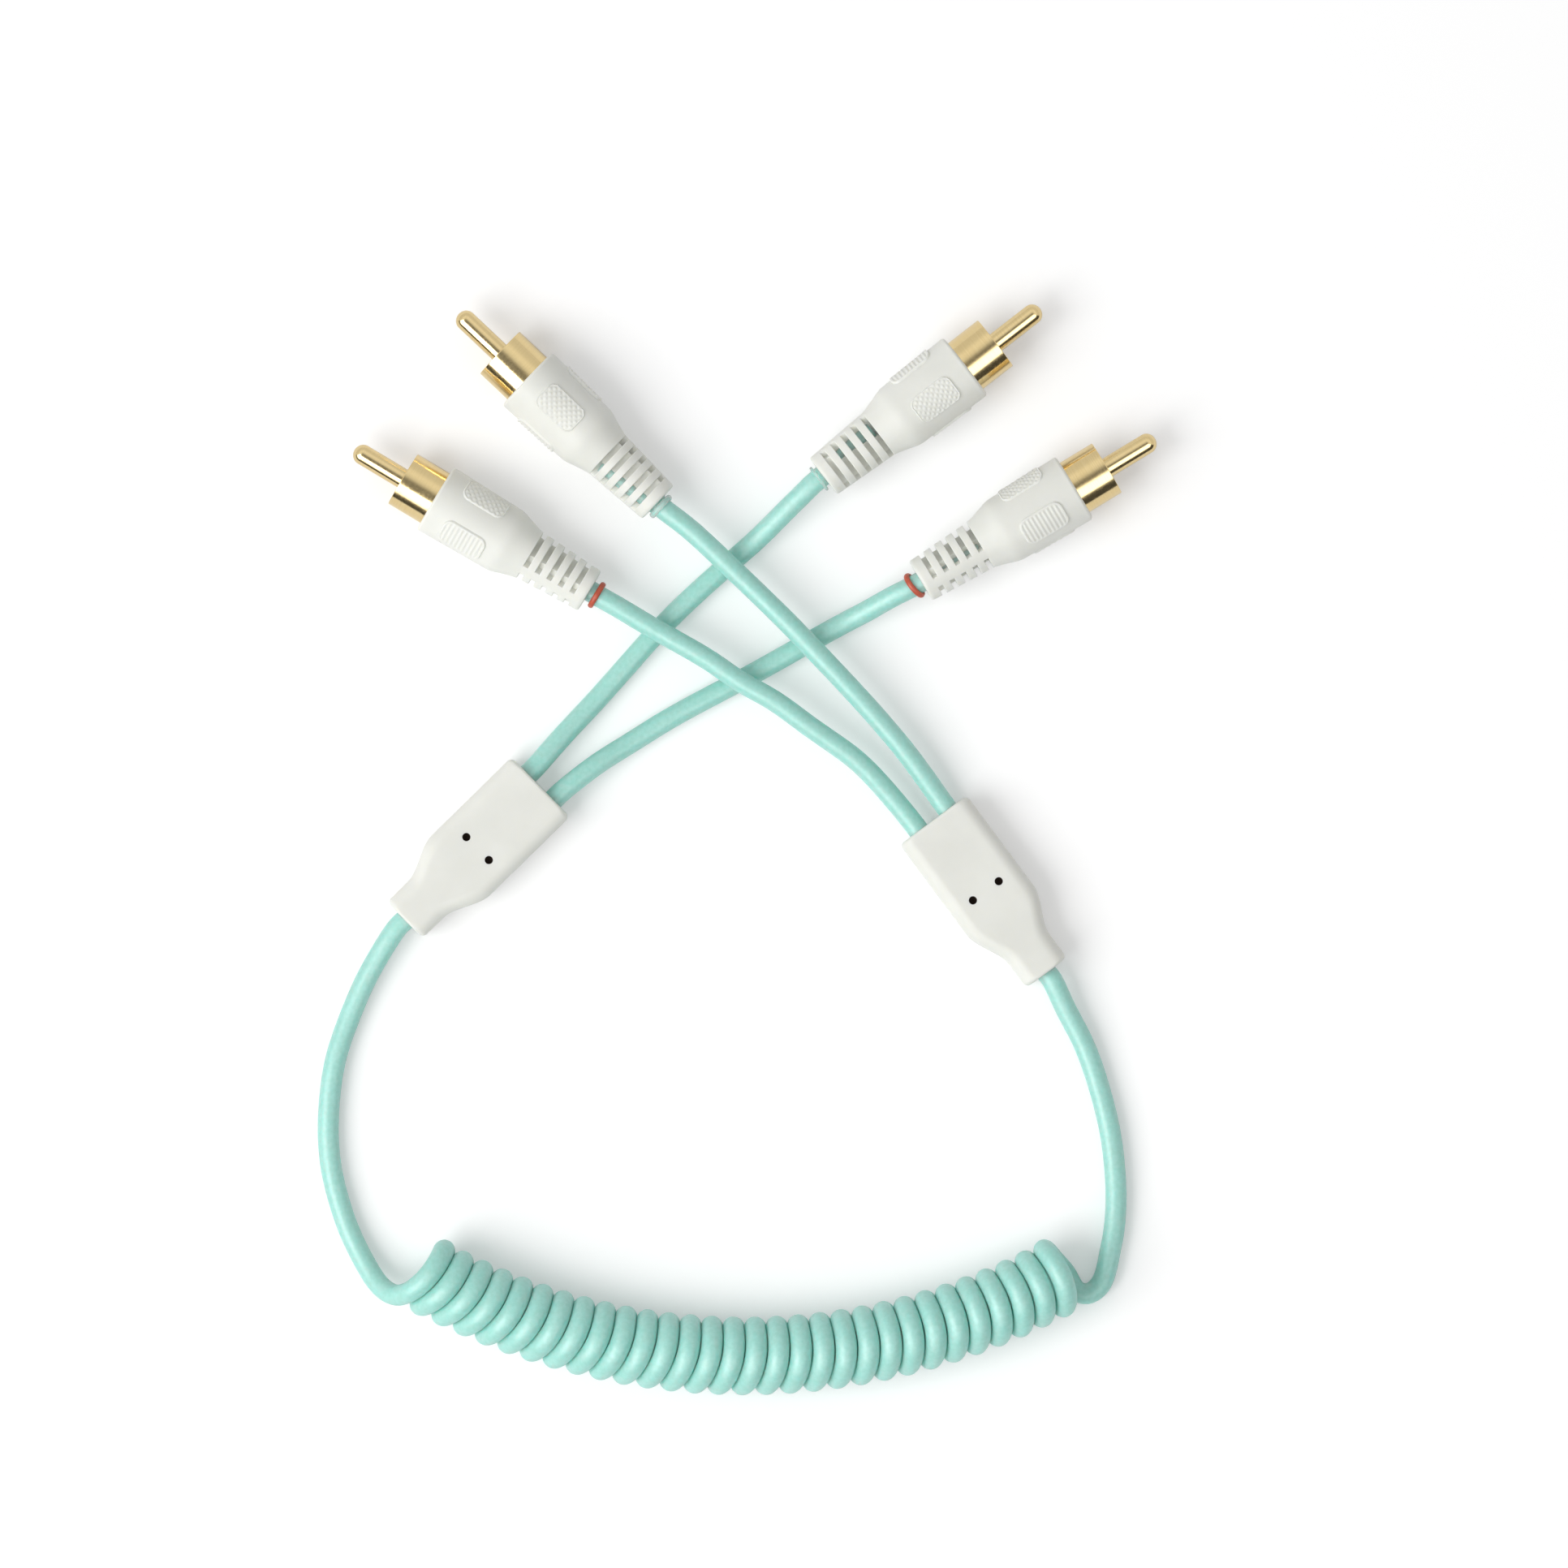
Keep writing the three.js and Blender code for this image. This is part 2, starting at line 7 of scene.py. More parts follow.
import bpy
import numpy as np
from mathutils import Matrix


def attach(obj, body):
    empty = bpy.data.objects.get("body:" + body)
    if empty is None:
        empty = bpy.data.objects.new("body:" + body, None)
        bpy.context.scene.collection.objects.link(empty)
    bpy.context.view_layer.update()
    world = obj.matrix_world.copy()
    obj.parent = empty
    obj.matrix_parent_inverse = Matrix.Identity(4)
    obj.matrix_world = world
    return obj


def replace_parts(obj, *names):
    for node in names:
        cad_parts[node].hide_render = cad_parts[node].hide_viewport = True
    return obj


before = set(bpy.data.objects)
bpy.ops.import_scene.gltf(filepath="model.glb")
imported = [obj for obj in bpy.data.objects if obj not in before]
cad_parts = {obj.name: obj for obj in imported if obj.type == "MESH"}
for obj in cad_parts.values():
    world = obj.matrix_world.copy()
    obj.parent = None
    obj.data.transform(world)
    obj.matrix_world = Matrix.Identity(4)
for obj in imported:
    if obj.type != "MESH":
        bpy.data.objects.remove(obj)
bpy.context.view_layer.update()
bpy.context.scene.view_settings.view_transform = "Standard"

METRES = 0.001
BODY = "root"
SHARP_ANGLE = 40
ALMOST_NOTHING = 1e-6

# Cord: its rings are a step apart, and a lead is how far it goes straight on out of a piece.
# Inside a plug it drifts off the axis. Of the drift at the last slot it keeps a share where it
# leaves the plug, and of that a share at the end of the lead.
CORD_RADIUS = 1.65
LYING_HEIGHT = 1.68
CROSSING_RISE = 3.55
CORD_SIDES = 28
CORD_STEP = 0.45
SPLINE_SAMPLES = 40
STRAIGHT_LEAD = 1.6
EXIT_LEAD = 0.2
DRIFT_AT_EXIT = 0.3
DRIFT_AFTER_LEAD = 0.6

# Coil, wound on a bow that lies flat. Coil radii are the cord's least and greatest radius in it.
# The fade, the next turn and the evening count points along the cord's line. End turns tells
# between how many strands from an end the extra width fades.
COIL_AXIS_HEIGHT = 6.15
WINDING_RADIUS = 4.45
COIL_LEAN = 1.1
LEAN_POWER = 1.5
FIRST_SLANT = 1.0
LAST_SLANT = -0.4
COIL_RADII = (1.6, 1.7)
END_TURN_WIDER = 0.25
END_TURNS = (0.2, 1.6)
COIL_FADE = 20
NEXT_TURN = 30
RADIUS_EVENING = 7
COIL_PITCH = 3.56
COIL_STRANDS = 30
BOW_RADIUS = 103
BOW_CENTRE = (-1.7, -7.56)
BOW_START_ANGLE = -119.36
FIRST_TURN_ANGLE = 20
LAST_TURN_ANGLE = 240
TOP_OF_TURN = 0.25
POINTS_A_TURN = 20

# Plug, along its own axis: x = 0 where the cord leaves it, +x to the tip of the pin
SHELL_LENGTH = 28
BODY_FRONT_RADIUS = 5.65
BODY_BACK_RADIUS = 5.38
BODY_START = 15
NECK_RADIUS = 4.1
RELIEF_START = 10.8
RELIEF_END_RADIUS = 3.55
TAPER_POWER = 1.2
TAPER_ROUND = 0.7
TAPER_ROUND_PLACES = 9
FACE_ROUND = 0.5
RELIEF_ROUND = 0.35
CORD_MOUTH = ((0.6, 1.4), (0.0, 1.45))
BARREL_SEAT_GAP = 0.05
BARREL_SEAT_DEPTH = 0.5
SLOT_COUNT = 5
SLOT_WIDTH = 0.8
SLOT_PITCH = 2.05
SLOT_EDGE_ROUND = 0.12
HALF_BAR = 0.85
CORE_HALF_WIDTH = 2.45
CORE_HALF_HEIGHT = 2.1

# Rows of the shell: how many on the relief and the rise to the body, and how many on the body;
# how close they are under the pads, and how far past them; how far from a slot's edge they lie
# outside it and inside it; and how wide a slot's wall is
SHELL_COLUMNS = 288
RELIEF_ROWS = 60
BODY_ROWS = 30
PAD_ROW_STEP = 0.075
PAD_ROW_MARGIN = 0.15
EDGE_ROWS = (0.0, 0.02, 0.05, 0.085)
FLOOR_ROW_INSET = 0.012
SLOT_WALL = 0.006
LEAST_ROW_GAP = 0.008
SHELL_SHARP_ANGLE = 35

# Grip pads: the angle of each round the plug, and whether it has ribs or a knurl
PADS = ((0, True), (90, False), (180, True), (270, False))
PAD_RAISE = 0.3
PAD_MIDDLE = 21.03
PAD_LENGTH = 7.35
PAD_WIDTH = 4.7
PAD_CORNER = 1.3
RIB_BORDER = 0.32
KNURL_BORDER = 0.06
BORDER_EDGE = 0.12
PAD_EDGE = 0.14
RIB_PITCH = 0.7
RIB_DEPTH = 0.13
RIB_POWER = 0.8
KNURL_PITCH = 0.75
KNURL_DEPTH = 0.15

# Metal parts and the insulator, on the plug's axis too. The closing run is the length that the
# UV map gives a barrel's back.
PIN_RADIUS = 1.6
PIN_BACK = 24.5
PIN_BACK_DRAW = 0.02
PIN_ROWS = 10
PIN_NOSE = 1.5
PIN_NOSE_LEAD = 0.2
PIN_NOSE_ROWS = 16
PIN_NOSE_END_ANGLE = 86
PIN_TIP = 42.7
BARREL_RADIUS = 4.5
BARREL_WALL = 0.4
BARREL_FRONT = 33.9
BARREL_BACK = 27.0
BARREL_EDGE = 0.1
BARREL_ROWS = 8
CLOSING_RUN = 2
INSULATOR_BACK = 27.3
INSULATOR_FRONT = 28.8
INSULATOR_EDGE = 0.15
INSULATOR_OUTER_GAP = 0.02
INSULATOR_INNER_GAP = 0.04
FIRST_METAL_ROW = 0.5
METAL_COLUMNS = 128

# Marker rings
RING_INNER = 1.6
RING_OUTER = 2.28
RING_SECTION_POINTS = 20
RING_COLUMNS = 72

# Splitter, along its own axis: x = 0 at the wide end. The edge is its rounding along its length,
# and the end edge and the corner are those at its ends, in height and in width. Pegs cut the
# pin holes.
SPLITTER_LENGTH = 29.6
SPLITTER_HALF_WIDTH = 6.5
SPLITTER_END_HALF_WIDTH = 3.95
SPLITTER_HALF_HEIGHT = 3.5
SHOULDER_START = 17.4
SHOULDER_LENGTH = 7.8
SPLITTER_EDGE = 2.2
SPLITTER_END_EDGE = 0.45
SPLITTER_CORNER = 0.9
SPLITTER_CORNER_STEPS = 14
SPLITTER_ROWS = 90
SPLITTER_ROWS_START = 1.2
LEG_SPACING = 5.6
SOCKET_DEPTH = 4.7
PIN_HOLE_RADIUS = 0.64
PIN_HOLE_DEPTH = 1.8
PIN_HOLE_SPACING = 5
PIN_HOLE_PLACE = 13.7
PEG_TOP = 1.0
PEG_COLUMNS = 48

# Each plug: where its cord leaves it, the height of its axis, the way its pin points (heading)
# and the turn about its own axis (roll). Its marker ring: the colour, the width, how far it
# stands from the plug, and how far it leans over and swings round. Along the slots, from the one
# nearest the pin: where the core ends on the cord's side, and how far off the axis the cord lies.
PLUGS = {
    1: {
        "exit": (-25.72, 8.5), "height": 5.667, "heading": 149, "roll": 229,
        "ring": "red", "ring_width": 0.88, "stand": 1.32, "lean": 0, "swing": 0,
        "core_end": (1.9, 1.9, 1.85, 1.8, 1.8), "cord_drift": (0.3, 0.3, 0.3, 0.25, 0.2),
    },
    2: {
        "exit": (-15.06, 22.31), "height": 5.95, "heading": 136.6, "roll": 2,
        "ring": "clear", "ring_width": 0.96, "stand": 0.9, "lean": 0, "swing": 0,
        "core_end": (1.52, 1.39, 1.01, 0.76, 0.55), "cord_drift": (1.55, 1.4, 1.32, 1.07, 0.85),
    },
    3: {
        "exit": (10.66, 26.32), "height": 5.95, "heading": 37.8, "roll": 14.5,
        "ring": "clear", "ring_width": 0.52, "stand": 0.75, "lean": 0, "swing": 0,
        "core_end": (0.38, 0.7, 0.89, 0.89, 2.45), "cord_drift": (1.24, 1.11, 0.98, 0.79, 0.6),
    },
    4: {
        "exit": (25.83, 10.04), "height": 5.945, "heading": 31.3, "roll": 115.5,
        "ring": "red", "ring_width": 0.88, "stand": 1.1, "lean": 14, "swing": 7,
        "core_end": (2.0, 2.0, 2.05, 2.15, 2.45), "cord_drift": (1.3, 1.2, 1.1, 1.0, 0.8),
    },
}

# Each splitter: the middle of its wide end, and the way its narrow end points
SPLITTERS = {
    "left": {"wide_end": (-33.35, -22.01), "heading": 224.4},
    "right": {"wide_end": (27.78, -27.17), "heading": -53.4},
}

# The free run of each cord as it lies: x, y, and its height as a share of the way from lying (0)
# to crossing over another cord (1)
LEG_RUNS = {
    1: [(-21.5, 6.1, 1.1), (-15.1, 2.3, 1.04), (-7.1, -2.3, 1.04), (-2.4, -5.5, 1.04),
        (3, -8.6, 1.02), (8, -12.2, 0.95), (13, -15.7, 0.85), (17.9, -19.8, 0.73)],
    2: [(-10.5, 18.4, 1.2), (-4.2, 12.6, 1.1), (0.1, 8.5, 1.04), (5.2, 3.5, 1.04),
        (8.2, 0.4, 1.04), (15.3, -7.1, 0.95), (20.4, -12.8, 0.82), (25, -18.5, 0.7)],
    3: [(7.6, 23.75, 1.08), (5.1, 21.3, 0.76), (2.5, 18.7, 0.4), (0, 16.3, 0.12), (-4.2, 12.6, 0),
        (-10.1, 7.3, 0), (-15.1, 2.3, 0), (-19.4, -2.5, 0), (-25.3, -9.1, 0.03),
        (-30.4, -14.6, 0.3)],
    4: [(22.1, 7.95, 1.06), (19.6, 6.6, 0.74), (17.1, 5.2, 0.4), (14.4, 3.8, 0.12), (8.2, 0.4, 0),
        (3.6, -2.2, 0), (-2.4, -5.5, 0), (-9.6, -9.3, 0), (-15.2, -12.5, 0), (-20.3, -15.7, 0.06),
        (-24.8, -18.6, 0.3)],
}

# The splitter that each leg goes to, and the side of its wide end
LEG_HOMES = {1: ("right", -1), 2: ("right", 1), 3: ("left", -1), 4: ("left", 1)}

# From each splitter to its end of the coil
STEM_RUNS = {
    "left": [(-58.8, -48.7, 0.3), (-61.4, -53.7, 0.12), (-63.5, -58.8, 0), (-65.2, -63.9, 0),
             (-66.1, -68.9, 0), (-66.5, -75.3, 0), (-66, -81.6, 0), (-64.8, -86.6, 0),
             (-63, -91.7, 0.05), (-60.4, -96.8, 0.3), (-58.8, -99.2, 0.6), (-57.2, -100.6, 0.95),
             (-55.7, -101.1, 1.35)],
    "right": [(48.3, -56.3, 0.3), (50.9, -61.3, 0.12), (52.9, -66.4, 0), (54.4, -71.5, 0),
              (55.5, -76.5, 0), (56.1, -81.6, 0), (56.3, -86.6, 0), (55.9, -91.7, 0),
              (55.4, -94.3, 0), (54.9, -96.8, 0), (54.3, -98.75, 0), (53.3, -100.2, 0),
              (51.8, -101, 0), (50.25, -100.6, 0), (49.2, -99.3, 0), (48.4, -97.8, 0.03)],
}

CAMERA_CENTRE = (4.54, -21.55)
CAMERA_HEIGHT = 3000
VIEW_WIDTH = 244.56
SENSOR_WIDTH = 36

# From here on lengths are in metres. The lamp's angles are in degrees, and its power in watts.
FAR_CLIP = 20
TABLE_HALF_SIZE = 3.0
TABLE_DROP = 0.0002
TABLE_GREY = 0.9
TABLE_GLOW = 0.2
KEY_LAMP = {"azimuth": 203, "elevation": 48, "distance": 1.6, "size": 1.2, "power": 17.6}

# Light, where 1 shows a colour as it is. The metal shows the studio: even walls behind, a bright
# window over a dark wall in front, and a dark ceiling. Each pair is a height, from 0 (level) to
# 1 (up), and the light there.
WORLD_LIGHT = 0.51
WALLS_BEHIND = (
    (0.0, 0.72), (0.2, 0.7), (0.5, 0.74), (0.67, 0.87), (0.77, 0.92),
    (0.88, 0.87), (0.95, 0.72), (0.985, 0.4), (1.0, 0.22),
)
WALLS_IN_FRONT = (
    (0.0, 0.06), (0.36, 0.08), (0.5, 0.3), (0.57, 2.2), (0.62, 2.6),
    (0.91, 2.6), (0.95, 1.2), (0.975, 0.5), (1.0, 0.22),
)
BRIGHTEST = 2.6
FRONT_DIRECTION = (-0.09, -0.996, 0)
FRONT_BLEND = 0.13
WINDOW_TILT = (-0.19, 0.02, 1)

# The noise values between which a finish goes from its shiniest to its dullest
NOISE_RANGE = (0.3, 0.7)


# Places and lines

def smooth(low, high, value):
    """0 below low, 1 above high, and 3t² - 2t³ between them."""
    share = np.clip((value - low) / (high - low), 0, 1)
    return share * share * (3 - 2 * share)


def laid(points, place, height, heading, roll=0.0):
    """Points in a piece's own axes, turned about its length by roll, then about the upright by
    heading, and moved to place."""
    h, r = np.radians(heading), np.radians(roll)
    about_x = np.array([[1, 0, 0], [0, np.cos(r), -np.sin(r)], [0, np.sin(r), np.cos(r)]])
    about_z = np.array([[np.cos(h), -np.sin(h), 0], [np.sin(h), np.cos(h), 0], [0, 0, 1]])
    return np.asarray(points, float) @ (about_z @ about_x).T + np.array([*place, height])


def on_plug(number, points):
    """A plug's own points where they lie on the table."""
    plug = PLUGS[number]
    return laid(points, plug["exit"], plug["height"], plug["heading"], plug["roll"])


def on_splitter(name, points):
    """A splitter's own points where they lie on the table."""
    splitter = SPLITTERS[name]
    return laid(points, splitter["wide_end"], SPLITTER_HALF_HEIGHT, splitter["heading"])


def lying(run):
    """A run's points with their heights above the table."""
    return np.array([(x, y, LYING_HEIGHT + rise * CROSSING_RISE) for x, y, rise in run])


def smooth_line(points, step):
    """A natural cubic spline through the points, its knots spaced by the square root of the
    distance between them, sampled at even steps of length."""
    points = np.asarray(points, float)
    knots = np.concatenate([[0], np.cumsum(np.linalg.norm(np.diff(points, axis=0), axis=1) ** 0.5)])
    gap = np.diff(knots)
    count = len(points)
    system = np.eye(count)
    inner = np.arange(1, count - 1)
    system[inner, inner - 1] = gap[:-1]
    system[inner, inner] = 2 * (gap[:-1] + gap[1:])
    system[inner, inner + 1] = gap[1:]
    slope = np.diff(points, axis=0) / gap[:, None]
    right = np.zeros_like(points)
    right[1:-1] = 6 * np.diff(slope, axis=0)
    bend = np.linalg.solve(system, right)
    dense = np.linspace(0, knots[-1], SPLINE_SAMPLES * count)
    i = np.clip(np.searchsorted(knots, dense, side="right") - 1, 0, count - 2)
    left, past = (knots[i + 1] - dense)[:, None], (dense - knots[i])[:, None]
    width = gap[i][:, None]
    line = (
        (bend[i] * left**3 + bend[i + 1] * past**3) / (6 * width)
        + (points[i] / width - bend[i] * width / 6) * left
        + (points[i + 1] / width - bend[i + 1] * width / 6) * past
    )
    run = np.concatenate([[0], np.cumsum(np.linalg.norm(np.diff(line, axis=0), axis=1))])
    even = np.linspace(0, run[-1], int(round(run[-1] / step)) + 1)
    return np.stack([np.interp(even, run, line[:, axis]) for axis in range(3)], 1)


def rings_along(line, radius, sides):
    """Circles square to the line, with a radius for each. Each one's first point is the last
    one's, kept square to the line, so the tube doesn't twist."""
    forward = np.gradient(line, axis=0)
    forward /= np.linalg.norm(forward, axis=1)[:, None]
    out = np.zeros_like(line)
    side = np.cross(forward[0], (0, 0, 1))
    for i, ahead in enumerate(forward):
        side = side - ahead * (side @ ahead)
        side /= np.linalg.norm(side)
        out[i] = side
    up = np.cross(forward, out)
    turn = np.linspace(0, 2 * np.pi, sides, endpoint=False)
    circle = np.cos(turn)[None, :, None] * out[:, None] + np.sin(turn)[None, :, None] * up[:, None]
    return line[:, None] + radius[:, None, None] * circle


# Meshes

def closed_piece(name, grid, finish, slot, along=None, hoop=False, sharp=SHARP_ANGLE):
    """A grid of points (rows, columns, 3) as a closed mesh. The columns go round; the rows are
    closed by a fan at each end, or run round too where hoop is true. Its UV map holds the
    distance round, from 0 to 1, and along. Faces are turned outwards by the sign of the volume.
    Edges sharper than the sharp angle, in degrees, stay sharp; where it is 0, none do."""
    rows, columns = grid.shape[:2]
    points = grid.reshape(-1, 3)
    index = np.arange(rows * columns).reshape(rows, columns)
    if hoop:
        index = np.vstack([index, index[:1]])
    beside = np.roll(index, -1, axis=1)
    faces = np.stack([index[:-1], beside[:-1], beside[1:], index[1:]], -1).reshape(-1, 4)
    if along is None:
        along = np.arange(len(index), dtype=float)
    start = np.tile(np.arange(columns) / columns, (len(index) - 1, 1))
    end = start + 1 / columns
    low = np.broadcast_to(along[:-1, None], start.shape)
    high = np.broadcast_to(along[1:, None], start.shape)
    uv = np.stack([start, low, end, low, end, high, start, high], -1).reshape(-1, 4, 2)
    fans = np.zeros((0, 3), int)
    if not hoop:
        points = np.vstack([points, grid[0].mean(0), grid[-1].mean(0)])
        poles = np.array([rows * columns, rows * columns + 1])
        first = np.stack([beside[0], index[0], np.full(columns, poles[0])], -1)
        last = np.stack([index[-1], beside[-1], np.full(columns, poles[1])], -1)
        fans = np.vstack([first, last])
    corners = points[np.vstack([faces[:, :3], faces[:, [0, 2, 3]], fans])]
    volume = np.einsum("ij,ij->", corners[:, 0], np.cross(corners[:, 1], corners[:, 2]))
    if volume < 0:
        faces, uv, fans = faces[:, ::-1], uv[:, ::-1], fans[:, ::-1]

    mesh = bpy.data.meshes.new(name)
    mesh.from_pydata((points * METRES).tolist(), [], faces.tolist() + fans.tolist())
    layer = mesh.uv_layers.new(name="UVMap")
    flat = np.zeros(len(mesh.loops) * 2, np.float32)
    flat[: uv.size] = uv.ravel()
    layer.data.foreach_set("uv", flat)
    mesh.polygons.foreach_set("use_smooth", np.ones(len(mesh.polygons), bool))
    if sharp:
        mesh.set_sharp_from_angle(angle=np.radians(sharp))
    mesh.materials.append(finish)
    mesh.update()
    piece = bpy.data.objects.new(name, mesh)
    bpy.context.scene.collection.objects.link(piece)
    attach(piece, BODY)
    return piece


def turned(profile, columns):
    """A profile of (x, radius) points turned about the x axis."""
    x, radius = np.asarray(profile, float).T
    turn = np.linspace(0, 2 * np.pi, columns, endpoint=False)
    return np.stack(
        [
            np.broadcast_to(x[:, None], (len(x), columns)),
            radius[:, None] * np.cos(turn),
            radius[:, None] * np.sin(turn),
        ],
        -1,
    )


def rounded_corner(centre, radius, start, end, steps=6):
    """Points of an arc round centre from one angle to another, in degrees."""
    angle = np.radians(np.linspace(start, end, steps))
    return [(centre[0] + radius * np.cos(a), centre[1] + radius * np.sin(a)) for a in angle]


# Finishes

class Finish:
    """A node material on Object coordinates, or on the piece's own UV map."""

    def __init__(self, name, colour, roughness, metallic=0.0):
        self.material = bpy.data.materials.new(name)
        self.material.use_nodes = True
        self.nodes = self.material.node_tree.nodes
        self.links = self.material.node_tree.links
        self.shader = self.nodes["Principled BSDF"]
        self.shader.inputs["Base Color"].default_value = (*colour, 1)
        self.shader.inputs["Roughness"].default_value = roughness
        self.shader.inputs["Metallic"].default_value = metallic
        self.places = self.nodes.new("ShaderNodeTexCoord")

    def node(self, kind, **inputs):
        """A new node with its inputs set by name."""
        made = self.nodes.new(kind)
        for name, value in inputs.items():
            made.inputs[name.replace("_", " ")].default_value = value
        return made

    def noise(self, scale, detail=3.0, coordinate="Object", stretch=(1, 1, 1)):
        """Noise with the given number of grains a metre (or a UV unit)."""
        mapping = self.node("ShaderNodeMapping", Scale=stretch)
        self.links.new(self.places.outputs[coordinate], mapping.inputs["Vector"])
        noise = self.node("ShaderNodeTexNoise", Scale=scale, Detail=detail)
        self.links.new(mapping.outputs["Vector"], noise.inputs["Vector"])
        return noise.outputs["Fac"]

    def tint(self, factor, first, second, low=0.35, high=0.65):
        """The base colour runs from first to second as factor runs from low to high."""
        ramp = self.nodes.new("ShaderNodeValToRGB")
        ramp.color_ramp.elements[0].position = low
        ramp.color_ramp.elements[0].color = (*first, 1)
        ramp.color_ramp.elements[1].position = high
        ramp.color_ramp.elements[1].color = (*second, 1)
        self.links.new(factor, ramp.inputs["Fac"])
        self.links.new(ramp.outputs["Color"], self.shader.inputs["Base Color"])

    def dull(self, factor, low, high):
        """Roughness from low to high as factor runs through the noise range."""
        spread = self.node("ShaderNodeMapRange")
        spread.inputs["From Min"].default_value = NOISE_RANGE[0]
        spread.inputs["From Max"].default_value = NOISE_RANGE[1]
        spread.inputs["To Min"].default_value = low
        spread.inputs["To Max"].default_value = high
        self.links.new(factor, spread.inputs["Value"])
        self.links.new(spread.outputs["Result"], self.shader.inputs["Roughness"])

    def bump(self, factor, height, strength=1.0):
        """Raises the surface by height, in metres, where factor is 1."""
        bump = self.node("ShaderNodeBump", Strength=strength, Distance=height)
        self.links.new(factor, bump.inputs["Height"])
        self.links.new(bump.outputs["Normal"], self.shader.inputs["Normal"])

    def translucent(self, weight, spread, scale):
        """Lets light through under the surface, each colour as far as spread times scale, in
        metres."""
        self.shader.inputs["Subsurface Weight"].default_value = weight
        self.shader.inputs["Subsurface Radius"].default_value = spread
        self.shader.inputs["Subsurface Scale"].default_value = scale


def vinyl_finish():
    """Pale grey moulded vinyl: fine, matt and faintly clouded."""
    finish = Finish("shell_vinyl", (0.825, 0.83, 0.78), 0.46)
    finish.tint(finish.noise(120, 4), (0.805, 0.81, 0.76), (0.845, 0.85, 0.80))
    finish.dull(finish.noise(900, 2), 0.42, 0.54)
    finish.bump(finish.noise(5200, 3), 0.00002, 0.5)
    finish.shader.inputs["Specular IOR Level"].default_value = 0.35
    finish.translucent(0.5, (1.0, 0.95, 0.8), 0.0009)
    return finish.material


def gold_finish():
    """Gold plate on turned brass, with faint streaks and a little haze."""
    finish = Finish("gold_plate", (0.86, 0.67, 0.345), 0.14, 1.0)
    lines = finish.noise(1.0, 2, "UV", (3, 9, 1))
    finish.tint(lines, (0.83, 0.64, 0.32), (0.88, 0.70, 0.37))
    finish.dull(finish.noise(2500, 2), 0.1, 0.19)
    finish.bump(lines, 0.000003, 0.06)
    return finish.material


def insulator_finish():
    """Ivory moulded plastic."""
    finish = Finish("insulator_plastic", (0.84, 0.80, 0.70), 0.35)
    finish.tint(finish.noise(400, 2), (0.82, 0.78, 0.68), (0.86, 0.82, 0.72))
    finish.bump(finish.noise(3000, 2), 0.00001, 0.4)
    return finish.material


def cord_finish():
    """The cord's mint jacket: satin, and light goes a little way into it."""
    finish = Finish("mint_cord", (0.375, 0.71, 0.64), 0.5)
    finish.tint(finish.noise(1500, 3), (0.345, 0.685, 0.61), (0.405, 0.735, 0.67))
    finish.dull(finish.noise(1800, 2), 0.44, 0.56)
    finish.bump(finish.noise(4200, 3), 0.00002, 0.6)
    finish.shader.inputs["Specular IOR Level"].default_value = 1.0
    finish.shader.inputs["IOR"].default_value = 1.55
    finish.shader.inputs["Coat Weight"].default_value = 0.6
    finish.shader.inputs["Coat Roughness"].default_value = 0.5
    finish.translucent(1.0, (0.2, 1.0, 0.95), 0.0018)
    return finish.material


def red_ring_finish():
    """Smooth brick-red vinyl."""
    finish = Finish("red_ring", (0.52, 0.09, 0.045), 0.38)
    finish.tint(finish.noise(900, 3), (0.47, 0.075, 0.038), (0.57, 0.11, 0.055))
    finish.bump(finish.noise(5000, 2), 0.00001, 0.4)
    return finish.material


def clear_ring_finish():
    """Colourless vinyl that the cord shows through."""
    finish = Finish("clear_ring", (0.88, 0.93, 0.91), 0.2)
    finish.tint(finish.noise(900, 3), (0.86, 0.92, 0.90), (0.90, 0.95, 0.93))
    finish.bump(finish.noise(4000, 2), 0.00001, 0.4)
    finish.shader.inputs["Transmission Weight"].default_value = 0.65
    finish.shader.inputs["IOR"].default_value = 1.2
    return finish.material


def painted_hole_shade_finish():
    """Painted shade for the inside of the splitters' pin holes: a dark brown in place of the shade
    that falls in them.
    """
    finish = Finish("pin_hole_shade", (0.075, 0.045, 0.03), 0.8)
    finish.tint(finish.noise(3000, 2), (0.065, 0.038, 0.025), (0.085, 0.055, 0.038))
    return finish.material


def floor_finish():
    """A light grey that keeps the object's shadow, with a glow that only the camera sees, so
    that it comes out white."""
    material = bpy.data.materials.new("table")
    material.use_nodes = True
    nodes, links = material.node_tree.nodes, material.node_tree.links
    nodes.clear()
    out = nodes.new("ShaderNodeOutputMaterial")
    diffuse = nodes.new("ShaderNodeBsdfDiffuse")
    diffuse.inputs["Color"].default_value = (TABLE_GREY, TABLE_GREY, TABLE_GREY, 1)
    glow = nodes.new("ShaderNodeEmission")
    path = nodes.new("ShaderNodeLightPath")
    lift = nodes.new("ShaderNodeMath")
    lift.operation = "MULTIPLY"
    lift.inputs[1].default_value = TABLE_GLOW
    both = nodes.new("ShaderNodeAddShader")
    links.new(path.outputs["Is Camera Ray"], lift.inputs[0])
    links.new(lift.outputs["Value"], glow.inputs["Strength"])
    links.new(diffuse.outputs["BSDF"], both.inputs[0])
    links.new(glow.outputs["Emission"], both.inputs[1])
    links.new(both.outputs["Shader"], out.inputs["Surface"])
    return material


VINYL = vinyl_finish()
GOLD = gold_finish()
IVORY = insulator_finish()
MINT = cord_finish()
RED = red_ring_finish()
CLEAR = clear_ring_finish()
# Painted shade: a dark brown for the walls of the splitters' pin holes
HOLE_SHADE = painted_hole_shade_finish()


# Camera

